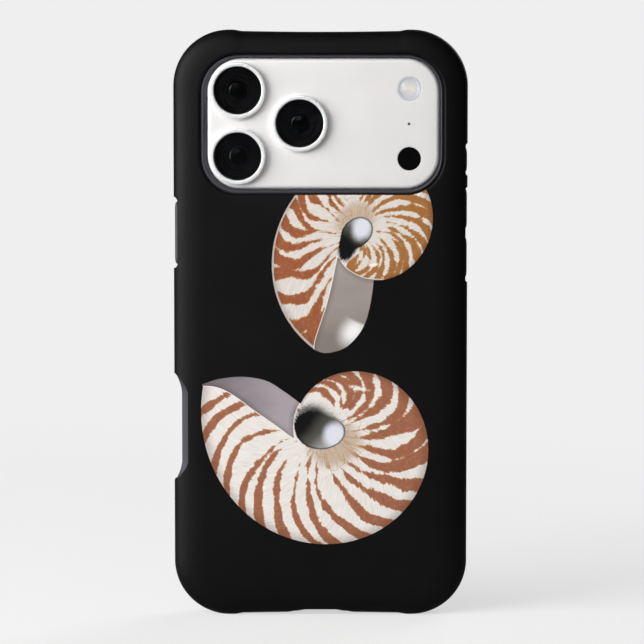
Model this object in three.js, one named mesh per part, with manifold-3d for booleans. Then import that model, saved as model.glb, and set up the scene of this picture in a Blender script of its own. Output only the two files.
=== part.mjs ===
// A large smartphone in a two-layer protective case, standing upright on the case's lower corners.
//
// Millimetres. +Z runs up the phone. -Y is the printed back of the case, with the cameras, and +Y is the
// display. The origin is on the ground under the middle of the whole object.
//
// "Depth" is counted forwards (+Y) from the flat back of the case, and "inset" inwards from its outline.

import * as THREE from 'three';
import { ParametricGeometry } from 'three/addons/geometries/ParametricGeometry.js';
import { mergeVertices } from 'three/addons/utils/BufferGeometryUtils.js';
import Module from 'manifold-3d';

const wasm = await Module();
wasm.setup();

// ---------------------------------------------------------------- driving dimensions

const PHONE_WIDTH = 78.0;
const PHONE_HEIGHT = 163.4;
const PHONE_THICKNESS = 8.75;
const PHONE_EDGE_RADIUS = 2.4;

const CASE_WALL = 4.2;
const BUMPER_EXTRA = 0.45; // the two ends of the case are this much thicker than its side walls
const CASE_CORNER_RADIUS = 16.4;
const PHONE_CORNER_RADIUS = CASE_CORNER_RADIUS - CASE_WALL;
const HALF_WIDTH = PHONE_WIDTH / 2 + CASE_WALL;
const CASE_HEIGHT = PHONE_HEIGHT + 2 * (CASE_WALL + BUMPER_EXTRA);
const END_FLAT = 1.1; // beside each corner the ends are flat for this far, and the case stands on that ...
const END_STEP = 0.35; // ... then they fall back by a small step ...
const END_STEP_WIDTH = 3.0;
const END_HOLLOW = 0.3; // ... and by a shallow hollow between the corners

const SHELL_THICKNESS = 1.4;
const LAYER_GAP = 0.2; // between the hard shell and the liner
const LINER_OFFSET = SHELL_THICKNESS + LAYER_GAP;
const LINER_FIT = 0.1; // between the liner and the phone
const FALL_WIDTH = 10.5; // the back curves away to the sides over this width ...
const FALL_DEPTH = 4.2; // ... and this depth ...
const FALL_POWER = 2.5; // ... as a superellipse of this power

const PHONE_BACK_DEPTH = 2.9;
const GLASS_FACE_DEPTH = PHONE_BACK_DEPTH + PHONE_THICKNESS;
const GLASS_PROUD = 0.3; // the cover glass stands this far out of the phone's frame
const SHELL_FRONT_DEPTH = 11.4;
const LIP_DEPTH = 12.9; // the liner's raised lip around the display
const LIP_OVERHANG = 1.1; // how far the lip reaches over the glass
const FLANGE_OFFSET = 0.3; // in front of the shell's edge the liner is almost flush with the shell
const LENS_TOP_DEPTH = -1.3; // the lens rings stand this far out of the case's back
const BACK_Y = -(LIP_DEPTH + LENS_TOP_DEPTH) / 2;

const PLATEAU = { x: 0.85, z: 145.2, halfWidth: 33.9, halfHeight: 18.95, radius: 9.7 };
const OPENING = { x: 0.45, z: 144.95, halfWidth: 35.3, halfHeight: 20.1, radius: 10.8 };
const PLATEAU_FACE_DEPTH = 0.4;
const RIM_GAP = 0.35; // between the shell's camera opening and the liner's collar
const COLLAR_DEPTH = 0.45;
const COLLAR_FOOT_DEPTH = 1.25;
const COLLAR_GAP = 0.25; // between the collar and the plateau
const COLLAR_CREST = 0.3; // the collar's crest is this far inside its outer rim ...
const COLLAR_FALL = 0.2; // ... which lies this much deeper
const RIM_ROUND = 0.6; // the shell's rim falls away over this width ...
const RIM_FALL = 0.5; // ... and this depth

const LENS_CENTRES = { upper: [-24.2, 154.85], lower: [-24.2, 135.65], middle: [-6.1, 145.25] };
const LENS_RING_RADIUS = 8.4;
const LENS_GLASS_RADIUS = 6.9;
const FLASH = { x: 25.95, z: 155.4, radius: 3.5 };
const DEPTH_WINDOW = { x: 25.95, z: 134.95, radius: 3.45 };
const REAR_MIC = { x: 25.9, z: 145.1, radius: 0.35 };

const BUTTON_DEPTH = 7.3; // the row of side buttons is centred at this depth
const COVER_THICKNESS = 4.6;
const COVER_GAP = 0.3;
const BUTTON_THICKNESS = 2.6;
const BUTTON_PROUD = 0.3; // the phone's own buttons stand this far out of its side
const BUTTON_TRAVEL = 0.3;
const BUTTON_POCKET = 2.0; // depth of a button's pocket in the phone's side
const BUTTON_FLOOR_GAP = 0.2; // left between a fully pressed button and its pocket's floor
const BUTTON_SHORTER = 1.2; // a button is this much shorter than its cover
const COVER_SEAT_GAP = 0.1; // between a button's face and the cover over it
const COVER_RIM = 0.5;

// The pressable buttons: the side each is on, its cover's ends, and how far in the cover's face lies.
const BUTTONS = {
  action: { side: 1, low: 130.9, high: 138.4, faceInset: 0.0 },
  volume_up: { side: 1, low: 114.2, high: 126.3, faceInset: 0.0 },
  volume_down: { side: 1, low: 99.8, high: 111.9, faceInset: 0.0 },
  side: { side: -1, low: 103.8, high: 122.4, faceInset: 0.2 },
};

// Cut-outs in the shell's front edge. low and high are where the edge leaves the outline, ramp is how long
// it takes to reach its full inset, and scoop is how far in the liner's surface lies behind it.
const NOTCHES = [
  { edge: 'right', low: 129.7, high: 139.8, ramp: 1.2, inset: 0.65, scoop: LINER_OFFSET },
  { edge: 'right', low: 98.4, high: 127.0, ramp: 1.2, inset: 0.65, scoop: LINER_OFFSET },
  { edge: 'left', low: 102.5, high: 124.1, ramp: 1.6, inset: 1.2, scoop: LINER_OFFSET },
  { edge: 'left', low: 39.8, high: 72.1, ramp: 6.5, inset: 4.2, scoop: 2.25 },
  { edge: 'bottom', low: -10.9, high: 10.9, ramp: 5.6, inset: 1.05, scoop: FLANGE_OFFSET },
];
const NOTCH_LEAD = 0.35; // length of a notch's steep side

const CAMERA_CONTROL = { z: 55.95, length: 19.0, thickness: 2.6, sunk: 0.02, rim: 0.2 };
const CONTROL_WINDOW = { length: 21.6, thickness: 5.2 };
const PORT_WINDOW = { halfWidth: 7.8, nearDepth: 2.4, farDepth: 10.9, radius: 3.4 };
const PORT_DEPTH = 7.3; // the socket's axis
const SOCKET = { width: 9.2, thickness: 3.4, length: 7.0, wall: 0.3, floor: 0.5, sunk: 0.15 };
const TONGUE = { width: 6.4, thickness: 0.7, length: 5.4, gap: 0.1 };
const SCREW = { x: 6.5, radius: 0.75, length: 1.2, sunk: 0.25, well: 3.4 };
const SPEAKER_SLOT = { x: 18.5, length: 11.0, thickness: 2.2, reach: CASE_WALL + 1.5 };
const SPEAKER_HOLES = { radius: 0.6, pitch: 1.9, count: 5, bore: 4 };

const CUT_PAST = 1; // cutters run on this far past the face that they open
const CUT_START_DEPTH = -2; // cutters for the rear wells start here, behind every rear face

const CORNER_STEPS = 6;
const RIM_CORNER_STEPS = 5;
const PHONE_EDGE_STEPS = 2;
const BAR_END_STEPS = 2;
const CLOSEST_PLACES = 0.9;
const ROUND_SIDES = 18;
const SMALL_SIDES = 10;
const BORE_SIDES = 8;
const WELL_SIDES = 12;

// ---------------------------------------------------------------- materials

const FINISHES = {
  shell: { color: 0x161617, roughness: 0.48, metalness: 0.0 },
  liner: { color: 0x3a393d, roughness: 0.75, metalness: 0.0 },
  cover: { color: 0x3c3b3e, roughness: 0.6, metalness: 0.0 },
  aluminium: { color: 0xe6e5e2, roughness: 0.35, metalness: 0.9 },
  inlay: { color: 0xdedddb, roughness: 0.5, metalness: 0.0 },
  glass: { color: 0x0a0b0e, roughness: 0.05, metalness: 0.0 },
  display: { color: 0x030304, roughness: 0.2, metalness: 0.0 },
  barrel: { color: 0x0c0c0e, roughness: 0.4, metalness: 0.0 },
  element: { color: 0x10131c, roughness: 0.04, metalness: 0.0 },
  flash: { color: 0xf3efe6, roughness: 0.15, metalness: 0.0 },
  led: { color: 0xe9c66a, roughness: 0.5, metalness: 0.0 },
  mesh: { color: 0x2b2b2d, roughness: 0.7, metalness: 0.3 },
  steel: { color: 0xb9bbbe, roughness: 0.3, metalness: 1.0 },
};

// ---------------------------------------------------------------- making solids

const smartphone = new THREE.Group();

function addPiece(name, geometry, finish) {
  const mesh = new THREE.Mesh(geometry, new THREE.MeshStandardMaterial(FINISHES[finish]));
  mesh.name = name;
  smartphone.add(mesh);
}

function toSolid(geometry) {
  const bare = geometry.clone();
  bare.deleteAttribute('normal');
  bare.deleteAttribute('uv');
  const joined = mergeVertices(bare, 1e-4);
  const mesh = new wasm.Mesh({
    numProp: 3,
    vertProperties: joined.attributes.position.array,
    triVerts: joined.index.array,
  });
  return new wasm.Manifold(mesh);
}

function toGeometry(solid) {
  const mesh = solid.getMesh();
  const geometry = new THREE.BufferGeometry();
  geometry.setAttribute('position', new THREE.BufferAttribute(mesh.vertProperties, 3));
  geometry.setIndex(new THREE.BufferAttribute(mesh.triVerts, 1));
  return geometry;
}

// Joins the additions to the base, then takes the cutters away from it.
function carve(base, cutters, additions = []) {
  let solid = toSolid(base);
  for (const addition of additions) solid = solid.add(toSolid(addition));
  for (const cutter of cutters) solid = solid.subtract(toSolid(cutter));
  return toGeometry(solid);
}

// A rounded rectangle about the origin, whose ends may be full half circles.
function roundedRect(halfWidth, halfHeight, radius, steps) {
  const corners = [[1, -1], [1, 1], [-1, 1], [-1, -1]];
  const points = corners.flatMap(([signX, signY], corner) =>
    Array.from({ length: steps + 1 }, (_, step) => {
      const angle = ((corner - 1 + step / steps) * Math.PI) / 2;
      const x = signX * (halfWidth - radius) + radius * Math.cos(angle);
      return new THREE.Vector2(x, signY * (halfHeight - radius) + radius * Math.sin(angle));
    }),
  );
  const apart = (point, index) => point.distanceTo(points.at(index - 1)) > 1e-3;
  return new THREE.Shape(points.filter(apart));
}

// Extrudes a shape along +Z from 0 to thickness, with both rims rounded inside the shape's outline.
function extrude(shape, thickness, rim = 0, rimSteps = 1) {
  const geometry = new THREE.ExtrudeGeometry(shape, {
    depth: thickness - 2 * rim,
    bevelEnabled: rim > 0,
    bevelThickness: rim,
    bevelSize: rim,
    bevelOffset: -rim,
    bevelSegments: rimSteps,
    steps: 1,
  });
  return geometry.translate(0, 0, rim);
}

// A plate parallel to the back: a rounded rectangle reaching from one depth to another.
function plate({ x, z, halfWidth, halfHeight, radius }, nearDepth, farDepth, rim = 0, rimSteps = 1) {
  const shape = roundedRect(halfWidth, halfHeight, radius, CORNER_STEPS);
  const body = extrude(shape, farDepth - nearDepth, rim, rimSteps);
  return body.rotateX(Math.PI / 2).translate(x, BACK_Y + farDepth, z);
}

// A disc parallel to the back, between two depths.
function disc({ x, z, radius }, nearDepth, farDepth, sides = ROUND_SIDES) {
  const cylinder = new THREE.CylinderGeometry(radius, radius, farDepth - nearDepth, sides);
  return cylinder.translate(x, BACK_Y + (nearDepth + farDepth) / 2, z);
}

// A round-ended bar lying along Z on the side given by sign, between two distances from the middle plane.
function sideBar(sign, nearX, farX, z, length, thickness, rim = 0) {
  const shape = roundedRect(length / 2, thickness / 2, thickness / 2, BAR_END_STEPS);
  const bar = extrude(shape, farX - nearX, rim);
  const lowX = sign > 0 ? nearX : -farX;
  return bar.rotateY(Math.PI / 2).translate(lowX, BACK_Y + BUTTON_DEPTH, z);
}

// A round-ended bar lying along X, reaching from one height to another.
function uprightBar(x, depth, width, thickness, lowZ, highZ, radius = thickness / 2) {
  const shape = roundedRect(width / 2, thickness / 2, radius, BAR_END_STEPS);
  return extrude(shape, highZ - lowZ).translate(x, BACK_Y + depth, lowZ);
}

// Turns a closed profile of [radius, depth] points about the line through (x, z) along Y.
function turned({ x, z }, profile, sides = ROUND_SIDES) {
  const points = profile.map(([radius, depth]) => new THREE.Vector2(radius, BACK_Y + depth));
  if (THREE.ShapeUtils.area(points) < 0) points.reverse();
  return new THREE.LatheGeometry([...points, points[0]], sides).translate(x, 0, z);
}

// A closed skin over rings of points, which close on themselves both around and along.
function closedLoft(rings) {
  const around = rings.length;
  const along = rings[0].length;
  const place = (u, v, target) => {
    const ring = rings[Math.round(u * around) % around];
    target.copy(ring[(along - Math.round(v * along)) % along]);
  };
  return new ParametricGeometry(place, around, along);
}

// ---------------------------------------------------------------- the case's outline

const CORNER_X = HALF_WIDTH - CASE_CORNER_RADIUS;
const CORNER_Z = CASE_CORNER_RADIUS;
const STEP_START = CORNER_X - END_FLAT;
const TOP_CORNER_Z = CASE_HEIGHT - CASE_CORNER_RADIUS;

// How far the case's end lies inside the line through its two corners.
function endFall(x) {
  const fromFlat = Math.max(STEP_START - Math.abs(x), 0);
  const step = END_STEP * THREE.MathUtils.smoothstep(fromFlat / END_STEP_WIDTH, 0, 1);
  return step + END_HOLLOW * (1 - (1 - fromFlat / STEP_START) ** 2);
}

// One place on the outline: its edge's name and coordinate, the case's and the phone's surface there, and
// the outward normal. x and z are the case's, phoneX and phoneZ the bare phone's.
function straightPlace(edge, along) {
  const phoneTop = (CASE_HEIGHT + PHONE_HEIGHT) / 2;
  const phoneBottom = (CASE_HEIGHT - PHONE_HEIGHT) / 2;
  const places = {
    right: { x: HALF_WIDTH, z: along, phoneX: PHONE_WIDTH / 2, phoneZ: along, nx: 1, nz: 0 },
    left: { x: -HALF_WIDTH, z: along, phoneX: -PHONE_WIDTH / 2, phoneZ: along, nx: -1, nz: 0 },
    top: { x: along, z: CASE_HEIGHT - endFall(along), phoneX: along, phoneZ: phoneTop, nx: 0, nz: 1 },
    bottom: { x: along, z: endFall(along), phoneX: along, phoneZ: phoneBottom, nx: 0, nz: -1 },
  };
  return { edge, along, ...places[edge] };
}

function cornerPlaces(signX, signZ, startAngle) {
  const centreX = signX * CORNER_X;
  const centreZ = signZ > 0 ? TOP_CORNER_Z : CORNER_Z;
  const places = [];
  for (let step = 0; step <= CORNER_STEPS; step += 1) {
    const angle = startAngle + (step / CORNER_STEPS) * (Math.PI / 2);
    const nx = Math.cos(angle);
    const nz = Math.sin(angle);
    places.push({
      edge: 'corner',
      along: 0,
      x: centreX + CASE_CORNER_RADIUS * nx,
      z: centreZ + CASE_CORNER_RADIUS * nz,
      phoneX: centreX + PHONE_CORNER_RADIUS * nx,
      phoneZ: centreZ - signZ * BUMPER_EXTRA + PHONE_CORNER_RADIUS * nz,
      nx,
      nz,
    });
  }
  return places;
}

// The places that a notch needs along its edge.
function notchStops({ low, high, ramp }) {
  const curve = ramp > 3 ? [ramp / 4, (ramp * 3) / 5] : [];
  return [0, NOTCH_LEAD, 2 * NOTCH_LEAD, ...curve, ramp].flatMap((stop) => [low + stop, high - stop]);
}

// The places on a side wall that face the rounded lower corner of the camera opening.
function rimCornerStops(sign) {
  const reach = (sign * HALF_WIDTH - OPENING.x) / sign;
  const stops = [];
  for (let step = 0; step <= RIM_CORNER_STEPS; step += 1) {
    const angle = (step / RIM_CORNER_STEPS) * (Math.PI / 2);
    const across = OPENING.halfWidth - OPENING.radius * (1 - Math.cos(angle));
    const down = OPENING.halfHeight - OPENING.radius * (1 - Math.sin(angle));
    stops.push(OPENING.z - (down * reach) / across);
  }
  return stops;
}

// Places along a straight edge between two corners: where its notches need them, and the extra ones.
function edgePlaces(edge, start, end, extra) {
  const needed = NOTCHES.filter((notch) => notch.edge === edge).flatMap(notchStops);
  const clear = extra.filter((stop) => needed.every((other) => Math.abs(stop - other) > CLOSEST_PLACES));
  const stops = [...needed, ...clear].filter((stop) => stop > start && stop < end);
  return stops.sort((a, b) => a - b).map((along) => straightPlace(edge, along));
}

const STEP_END = STEP_START - END_STEP_WIDTH;
const STEP_MIDDLE = (STEP_START + STEP_END) / 2;
const END_STOPS = [0, ...[STEP_END / 2, STEP_END, STEP_MIDDLE, STEP_START].flatMap((x) => [-x, x])];

// Anticlockwise as seen from the back, from the bottom of the right side.
const OUTLINE = [
  ...edgePlaces('right', CORNER_Z, TOP_CORNER_Z, rimCornerStops(1)),
  ...cornerPlaces(1, 1, 0),
  ...edgePlaces('top', -CORNER_X, CORNER_X, END_STOPS).reverse(),
  ...cornerPlaces(-1, 1, Math.PI / 2),
  ...edgePlaces('left', CORNER_Z, TOP_CORNER_Z, rimCornerStops(-1)).reverse(),
  ...cornerPlaces(-1, -1, Math.PI),
  ...edgePlaces('bottom', -CORNER_X, CORNER_X, END_STOPS),
  ...cornerPlaces(1, -1, -Math.PI / 2),
];

// ---------------------------------------------------------------- the case's section

// Distance of a place from a rounded rectangle's edge, positive outside it.
function distanceTo({ x, z, halfWidth, halfHeight, radius }, placeX, placeZ) {
  const dx = Math.abs(placeX - x) - (halfWidth - radius);
  const dz = Math.abs(placeZ - z) - (halfHeight - radius);
  return Math.hypot(Math.max(dx, 0), Math.max(dz, 0)) + Math.min(Math.max(dx, dz), 0) - radius;
}

const CASE_RECT = {
  x: 0,
  z: CASE_HEIGHT / 2,
  halfWidth: HALF_WIDTH,
  halfHeight: CASE_HEIGHT / 2,
  radius: CASE_CORNER_RADIUS,
};

// The outer section runs with t from the flat back (0), over the curve to the side (1), and forwards along
// the side wall to the shell's front edge (2). It gives the inset and the depth.
function section(t) {
  if (t >= 1) return [0, FALL_DEPTH + (t - 1) * (SHELL_FRONT_DEPTH - FALL_DEPTH)];
  const angle = (Math.max(t, 0) * Math.PI) / 2;
  const power = 2 / FALL_POWER;
  return [FALL_WIDTH * (1 - Math.sin(angle) ** power), FALL_DEPTH * (1 - Math.cos(angle) ** power)];
}

// The t at which the outer section is at an inset of the curved part.
function sectionAt(inset) {
  const share = Math.max(1 - inset / FALL_WIDTH, 0);
  return (Math.asin(share ** (FALL_POWER / 2)) * 2) / Math.PI;
}

// The t at which the outer section reaches a depth along the side wall.
const wallAt = (depth) => 1 + (depth - FALL_DEPTH) / (SHELL_FRONT_DEPTH - FALL_DEPTH);

// A point of the section moved inwards by an offset, as [inset, depth].
function offsetSection(t, offset) {
  const [inset, depth] = section(t);
  if (t >= 1) return [inset + offset, depth];
  const small = 1e-4;
  const [beforeInset, beforeDepth] = section(t - small);
  const [afterInset, afterDepth] = section(t + small);
  const towards = new THREE.Vector2(afterDepth - beforeDepth, beforeInset - afterInset).normalize();
  return [inset + offset * towards.x, depth + offset * towards.y];
}

// A point in space from a place on the outline and an inset and depth, counted from the case's surface.
function fromCase(place, [inset, depth]) {
  return new THREE.Vector3(place.x - inset * place.nx, BACK_Y + depth, place.z - inset * place.nz);
}

// The same, counted outwards from the bare phone's surface.
function fromPhone(place, outset, depth) {
  const x = place.phoneX + outset * place.nx;
  return new THREE.Vector3(x, BACK_Y + depth, place.phoneZ + outset * place.nz);
}

// Where the ray from the middle of the camera opening through a place crosses a rounded rectangle. The
// depth is counted from the case's curved back.
function onRim(place, rect, grow, depthBelowBack) {
  const direction = new THREE.Vector2(place.x - OPENING.x, place.z - OPENING.z).normalize();
  let inside = 0;
  let outside = CASE_HEIGHT;
  for (let halving = 0; halving < 40; halving += 1) {
    const middle = (inside + outside) / 2;
    const x = OPENING.x + middle * direction.x;
    const z = OPENING.z + middle * direction.y;
    if (distanceTo(rect, x, z) < grow) inside = middle;
    else outside = middle;
  }
  const x = OPENING.x + inside * direction.x;
  const z = OPENING.z + inside * direction.y;
  const back = section(sectionAt(-distanceTo(CASE_RECT, x, z)))[1];
  return new THREE.Vector3(x, BACK_Y + back + depthBelowBack, z);
}

const START_SHARE = 0.86; // where the rim cuts into the curve, it starts at this share of the rim's inset

// Where the curved part of the section starts beside a place: at the flat's end, or just outside the rim.
function sectionStart(rimPoint) {
  const rimInset = -distanceTo(CASE_RECT, rimPoint.x, rimPoint.z);
  return sectionAt(Math.min(FALL_WIDTH, rimInset * START_SHARE));
}

// The notch that a place lies in, shrunk at both ends by a clearance, and how far inside it the place is.
function notchAt({ edge, along }, clearance) {
  const reachIn = ({ low, high }) => Math.min(along - low, high - along) - clearance;
  const notch = NOTCHES.find((one) => one.edge === edge && reachIn(one) > 1e-6);
  return notch && { ...notch, reach: reachIn(notch) };
}

const SHOULDER = 1.02; // just past the curve, at the top of the side wall

// A quarter sine on the sides, and a smooth step where the notch is shallow and long.
function notchShare({ edge, reach, ramp }) {
  const share = Math.min(reach / ramp, 1);
  return edge === 'bottom' ? THREE.MathUtils.smoothstep(share, 0, 1) : Math.sin((share * Math.PI) / 2);
}

// The t of the shell's edge beside a place, or of the liner's step, which keeps a clearance from it.
function shellEdge(place, clearance = 0) {
  const notch = notchAt(place, clearance);
  if (!notch) return 2;
  if (notch.reach < NOTCH_LEAD) return 2 + (SHOULDER - 2) * (notch.reach / NOTCH_LEAD);
  return Math.min(SHOULDER, sectionAt(notch.inset * notchShare(notch)));
}

// How far in the liner's surface lies in front of the shell's edge.
function exposedOffset(place) {
  const notch = notchAt(place, 0);
  if (!notch) return FLANGE_OFFSET;
  return FLANGE_OFFSET + (notch.scoop - FLANGE_OFFSET) * notchShare(notch);
}

const spread = (from, to, count) =>
  Array.from({ length: count }, (_, index) => from + ((to - from) * index) / (count - 1));

// ---------------------------------------------------------------- the hard shell

const CURVE_STOPS = 4;
const EDGE_ROUND = 0.3;

// The stops over the curve towards the shell's edge, which may lie on the curve itself.
function curveStops(start, edge) {
  return edge > SHOULDER ? spread(start, 1, CURVE_STOPS) : spread(start, edge, CURVE_STOPS + 1).slice(0, -1);
}

function shellRing(place) {
  const rimTop = onRim(place, OPENING, RIM_GAP + RIM_ROUND, 0);
  const start = sectionStart(rimTop);
  const edge = shellEdge(place);
  const stops = curveStops(start, edge);
  const outer = [...stops, edge - EDGE_ROUND / SHELL_FRONT_DEPTH].map((t) => offsetSection(t, 0));
  const face = [offsetSection(edge, EDGE_ROUND), offsetSection(edge, SHELL_THICKNESS)];
  const inner = stops.reverse().map((t) => offsetSection(t, SHELL_THICKNESS));
  return [
    onRim(place, OPENING, RIM_GAP, SHELL_THICKNESS),
    onRim(place, OPENING, RIM_GAP, RIM_FALL),
    rimTop,
    ...[...outer, ...face, ...inner].map((point) => fromCase(place, point)),
  ];
}

const speakerSlots = [-1, 1].map((sign) => {
  const { x, length, thickness, reach } = SPEAKER_SLOT;
  return uprightBar(sign * x, PORT_DEPTH, length, thickness, -CUT_PAST, reach);
});

addPiece('hard_shell', carve(closedLoft(OUTLINE.map(shellRing)), speakerSlots), 'shell');

// ---------------------------------------------------------------- the liner

const STEP_CLEARANCE = 0.35; // from the shell's edge to where the liner comes out beside it
const NOTCH_RELIEF = 0.45; // beside a notch the liner lies this much deeper under the shell
const LIP_ROUND = 0.6;
const LATEST_ON_CURVE = 0.9; // a step that lies before this t still has curve to follow
const STEP_RISE = 0.02; // the step's points on the side wall are this far apart, as a t

// Around the camera opening the liner stands up in a collar. Under the shell it follows the shell, and
// wherever the shell's edge ends it comes out almost flush, or falls back behind a notch.
function linerRing(place) {
  const collarCrest = onRim(place, OPENING, -COLLAR_CREST, COLLAR_DEPTH);
  const start = sectionStart(collarCrest);
  const edge = shellEdge(place, STEP_CLEARANCE);
  const stepAt = edge + STEP_CLEARANCE / (edge < SHOULDER ? FALL_WIDTH : SHELL_FRONT_DEPTH - FALL_DEPTH);
  const under = LINER_OFFSET + (notchAt(place, 0) ? NOTCH_RELIEF : 0);
  const exposed = exposedOffset(place);
  const lipEnd = wallAt(LIP_DEPTH - LIP_ROUND);
  const onCurve = spread(stepAt, stepAt < LATEST_ON_CURVE ? 1 : stepAt + 2 * STEP_RISE, 3);
  const covered = [...curveStops(start, edge), stepAt].map((t) => offsetSection(t, under));
  const outer = [
    ...covered,
    ...[...onCurve, lipEnd].map((t) => offsetSection(t, exposed)),
    [exposed + LIP_ROUND, LIP_DEPTH],
  ];
  const glassDepth = GLASS_FACE_DEPTH + LINER_FIT;
  const inner = [
    [-LIP_OVERHANG + LIP_ROUND, LIP_DEPTH],
    [-LIP_OVERHANG, glassDepth],
    [LINER_FIT, glassDepth],
    ...spread(0, Math.PI / 2, PHONE_EDGE_STEPS + 1).map((angle) => [
      (PHONE_EDGE_RADIUS + LINER_FIT) * Math.cos(angle) - PHONE_EDGE_RADIUS,
      PHONE_BACK_DEPTH + PHONE_EDGE_RADIUS - (PHONE_EDGE_RADIUS + LINER_FIT) * Math.sin(angle),
    ]),
  ];
  const plateauRim = onRim(place, PLATEAU, COLLAR_GAP, COLLAR_FOOT_DEPTH);
  const plateauFoot = plateauRim.clone().setY(BACK_Y + PHONE_BACK_DEPTH - LINER_FIT);
  return [
    plateauFoot,
    plateauRim,
    collarCrest,
    onRim(place, OPENING, 0, COLLAR_DEPTH + COLLAR_FALL),
    onRim(place, OPENING, 0, LINER_OFFSET),
    ...outer.map((point) => fromCase(place, point)),
    ...inner.map(([outset, depth]) => fromPhone(place, outset, depth)),
  ];
}

const WINDOW_REACH = 1.2; // how far inside the phone's side a window's cutter starts

// A window through the liner's wall for a button cover or a bare button.
function sideWindow(sign, z, length, thickness) {
  return sideBar(sign, PHONE_WIDTH / 2 - WINDOW_REACH, HALF_WIDTH + CUT_PAST, z, length, thickness);
}

const coverWindows = Object.values(BUTTONS).map(({ side, low, high }) => {
  const length = high - low + 2 * COVER_GAP;
  return sideWindow(side, (low + high) / 2, length, COVER_THICKNESS + 2 * COVER_GAP);
});
const controlWindow = sideWindow(-1, CAMERA_CONTROL.z, CONTROL_WINDOW.length, CONTROL_WINDOW.thickness);
const portWindow = uprightBar(
  0,
  (PORT_WINDOW.nearDepth + PORT_WINDOW.farDepth) / 2,
  2 * PORT_WINDOW.halfWidth,
  PORT_WINDOW.farDepth - PORT_WINDOW.nearDepth,
  -CUT_PAST,
  CASE_WALL + BUMPER_EXTRA + LINER_FIT,
  PORT_WINDOW.radius,
);

addPiece(
  'inner_liner',
  carve(closedLoft(OUTLINE.map(linerRing)), [...coverWindows, controlWindow, portWindow, ...speakerSlots]),
  'liner',
);

for (const [name, { side, low, high, faceInset }] of Object.entries(BUTTONS)) {
  const middle = (low + high) / 2;
  const seat = PHONE_WIDTH / 2 + BUTTON_PROUD + COVER_SEAT_GAP;
  const face = HALF_WIDTH - faceInset;
  const cover = sideBar(side, seat, face, middle, high - low, COVER_THICKNESS, COVER_RIM);
  addPiece(`${name}_cover`, cover, 'cover');
}

// ---------------------------------------------------------------- the phone's body

const PHONE_Z = CASE_HEIGHT / 2;
const phoneRect = (inset, radius) => ({
  x: 0,
  z: PHONE_Z,
  halfWidth: PHONE_WIDTH / 2 - inset,
  halfHeight: PHONE_HEIGHT / 2 - inset,
  radius,
});
const PHONE_BOTTOM = PHONE_Z - PHONE_HEIGHT / 2;
const FRAME_FRONT_DEPTH = GLASS_FACE_DEPTH - GLASS_PROUD;
const GLASS_THICKNESS = 0.9;
const PANEL_THICKNESS = 1.3;
const GLASS_INSET = 1.3; // the cover glass starts this far inside the phone's outline ...
const PANEL_INSET = 2.6; // ... and the panel behind it this far
const GLASS_RIM = 0.25;
const GLASS_BACK_DEPTH = GLASS_FACE_DEPTH - GLASS_THICKNESS;
const PANEL_BACK_DEPTH = GLASS_BACK_DEPTH - PANEL_THICKNESS;
const PLATEAU_RIM = 0.6;
const PLATEAU_ROOT = 1.5; // how far the plateau reaches into the body that it is joined to
const LENS_WELL = { radius: 7.6, depth: 4.4 };
const FLASH_WELL_DEPTH = 2.2;
const WINDOW_WELL_DEPTH = 1.6;
const MIC_WELL = { depth: 1.4, gap: 0.05 };
const LENS_PLACES = Object.entries(LENS_CENTRES).map(([name, [x, z]]) => ({ name, x, z }));

const INLAY = { x: 0, z: 63.6, halfWidth: 33.0, halfHeight: 55.5, radius: 6.0 };
const INLAY_THICKNESS = 0.8;
const FIT = 0.12; // between a part of the phone and the pocket that holds it

const grown = (rect, by) => ({
  ...rect,
  halfWidth: rect.halfWidth + by,
  halfHeight: rect.halfHeight + by,
  radius: rect.radius + by,
});

const GLASS_RECT = phoneRect(GLASS_INSET, PHONE_CORNER_RADIUS - GLASS_INSET);
const PANEL_RECT = phoneRect(PANEL_INSET, PHONE_CORNER_RADIUS - PANEL_INSET);

function sidePocket(sign, z, length, thickness) {
  return sideBar(sign, PHONE_WIDTH / 2 - BUTTON_POCKET, PHONE_WIDTH / 2 + CUT_PAST, z, length, thickness);
}

const buttonPockets = Object.values(BUTTONS).map(({ side, low, high }) => {
  const length = high - low - BUTTON_SHORTER + 2 * FIT;
  return sidePocket(side, (low + high) / 2, length, BUTTON_THICKNESS + 2 * FIT);
});
const controlPocket = sidePocket(
  -1,
  CAMERA_CONTROL.z,
  CAMERA_CONTROL.length + 2 * FIT,
  CAMERA_CONTROL.thickness + 2 * FIT,
);
const socketPocket = uprightBar(
  0,
  PORT_DEPTH,
  SOCKET.width + 2 * FIT,
  SOCKET.thickness + 2 * FIT,
  PHONE_BOTTOM - CUT_PAST,
  PHONE_BOTTOM + SOCKET.length + FIT,
);

function speakerHole(x) {
  const { radius, bore } = SPEAKER_HOLES;
  const hole = new THREE.CylinderGeometry(radius, radius, bore, BORE_SIDES);
  return hole.rotateX(Math.PI / 2).translate(x, BACK_Y + PORT_DEPTH, PHONE_BOTTOM);
}
const speakerHoles = [-1, 1].flatMap((sign) =>
  Array.from({ length: SPEAKER_HOLES.count }, (_, index) => {
    const middle = (SPEAKER_HOLES.count - 1) / 2;
    return speakerHole(sign * SPEAKER_SLOT.x + (index - middle) * SPEAKER_HOLES.pitch);
  }),
);
const screwWells = [-SCREW.x, SCREW.x].map((x) => {
  const well = new THREE.CylinderGeometry(SCREW.radius + FIT, SCREW.radius + FIT, SCREW.well, BORE_SIDES);
  return well.rotateX(Math.PI / 2).translate(x, BACK_Y + PORT_DEPTH, PHONE_BOTTOM);
});

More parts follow.
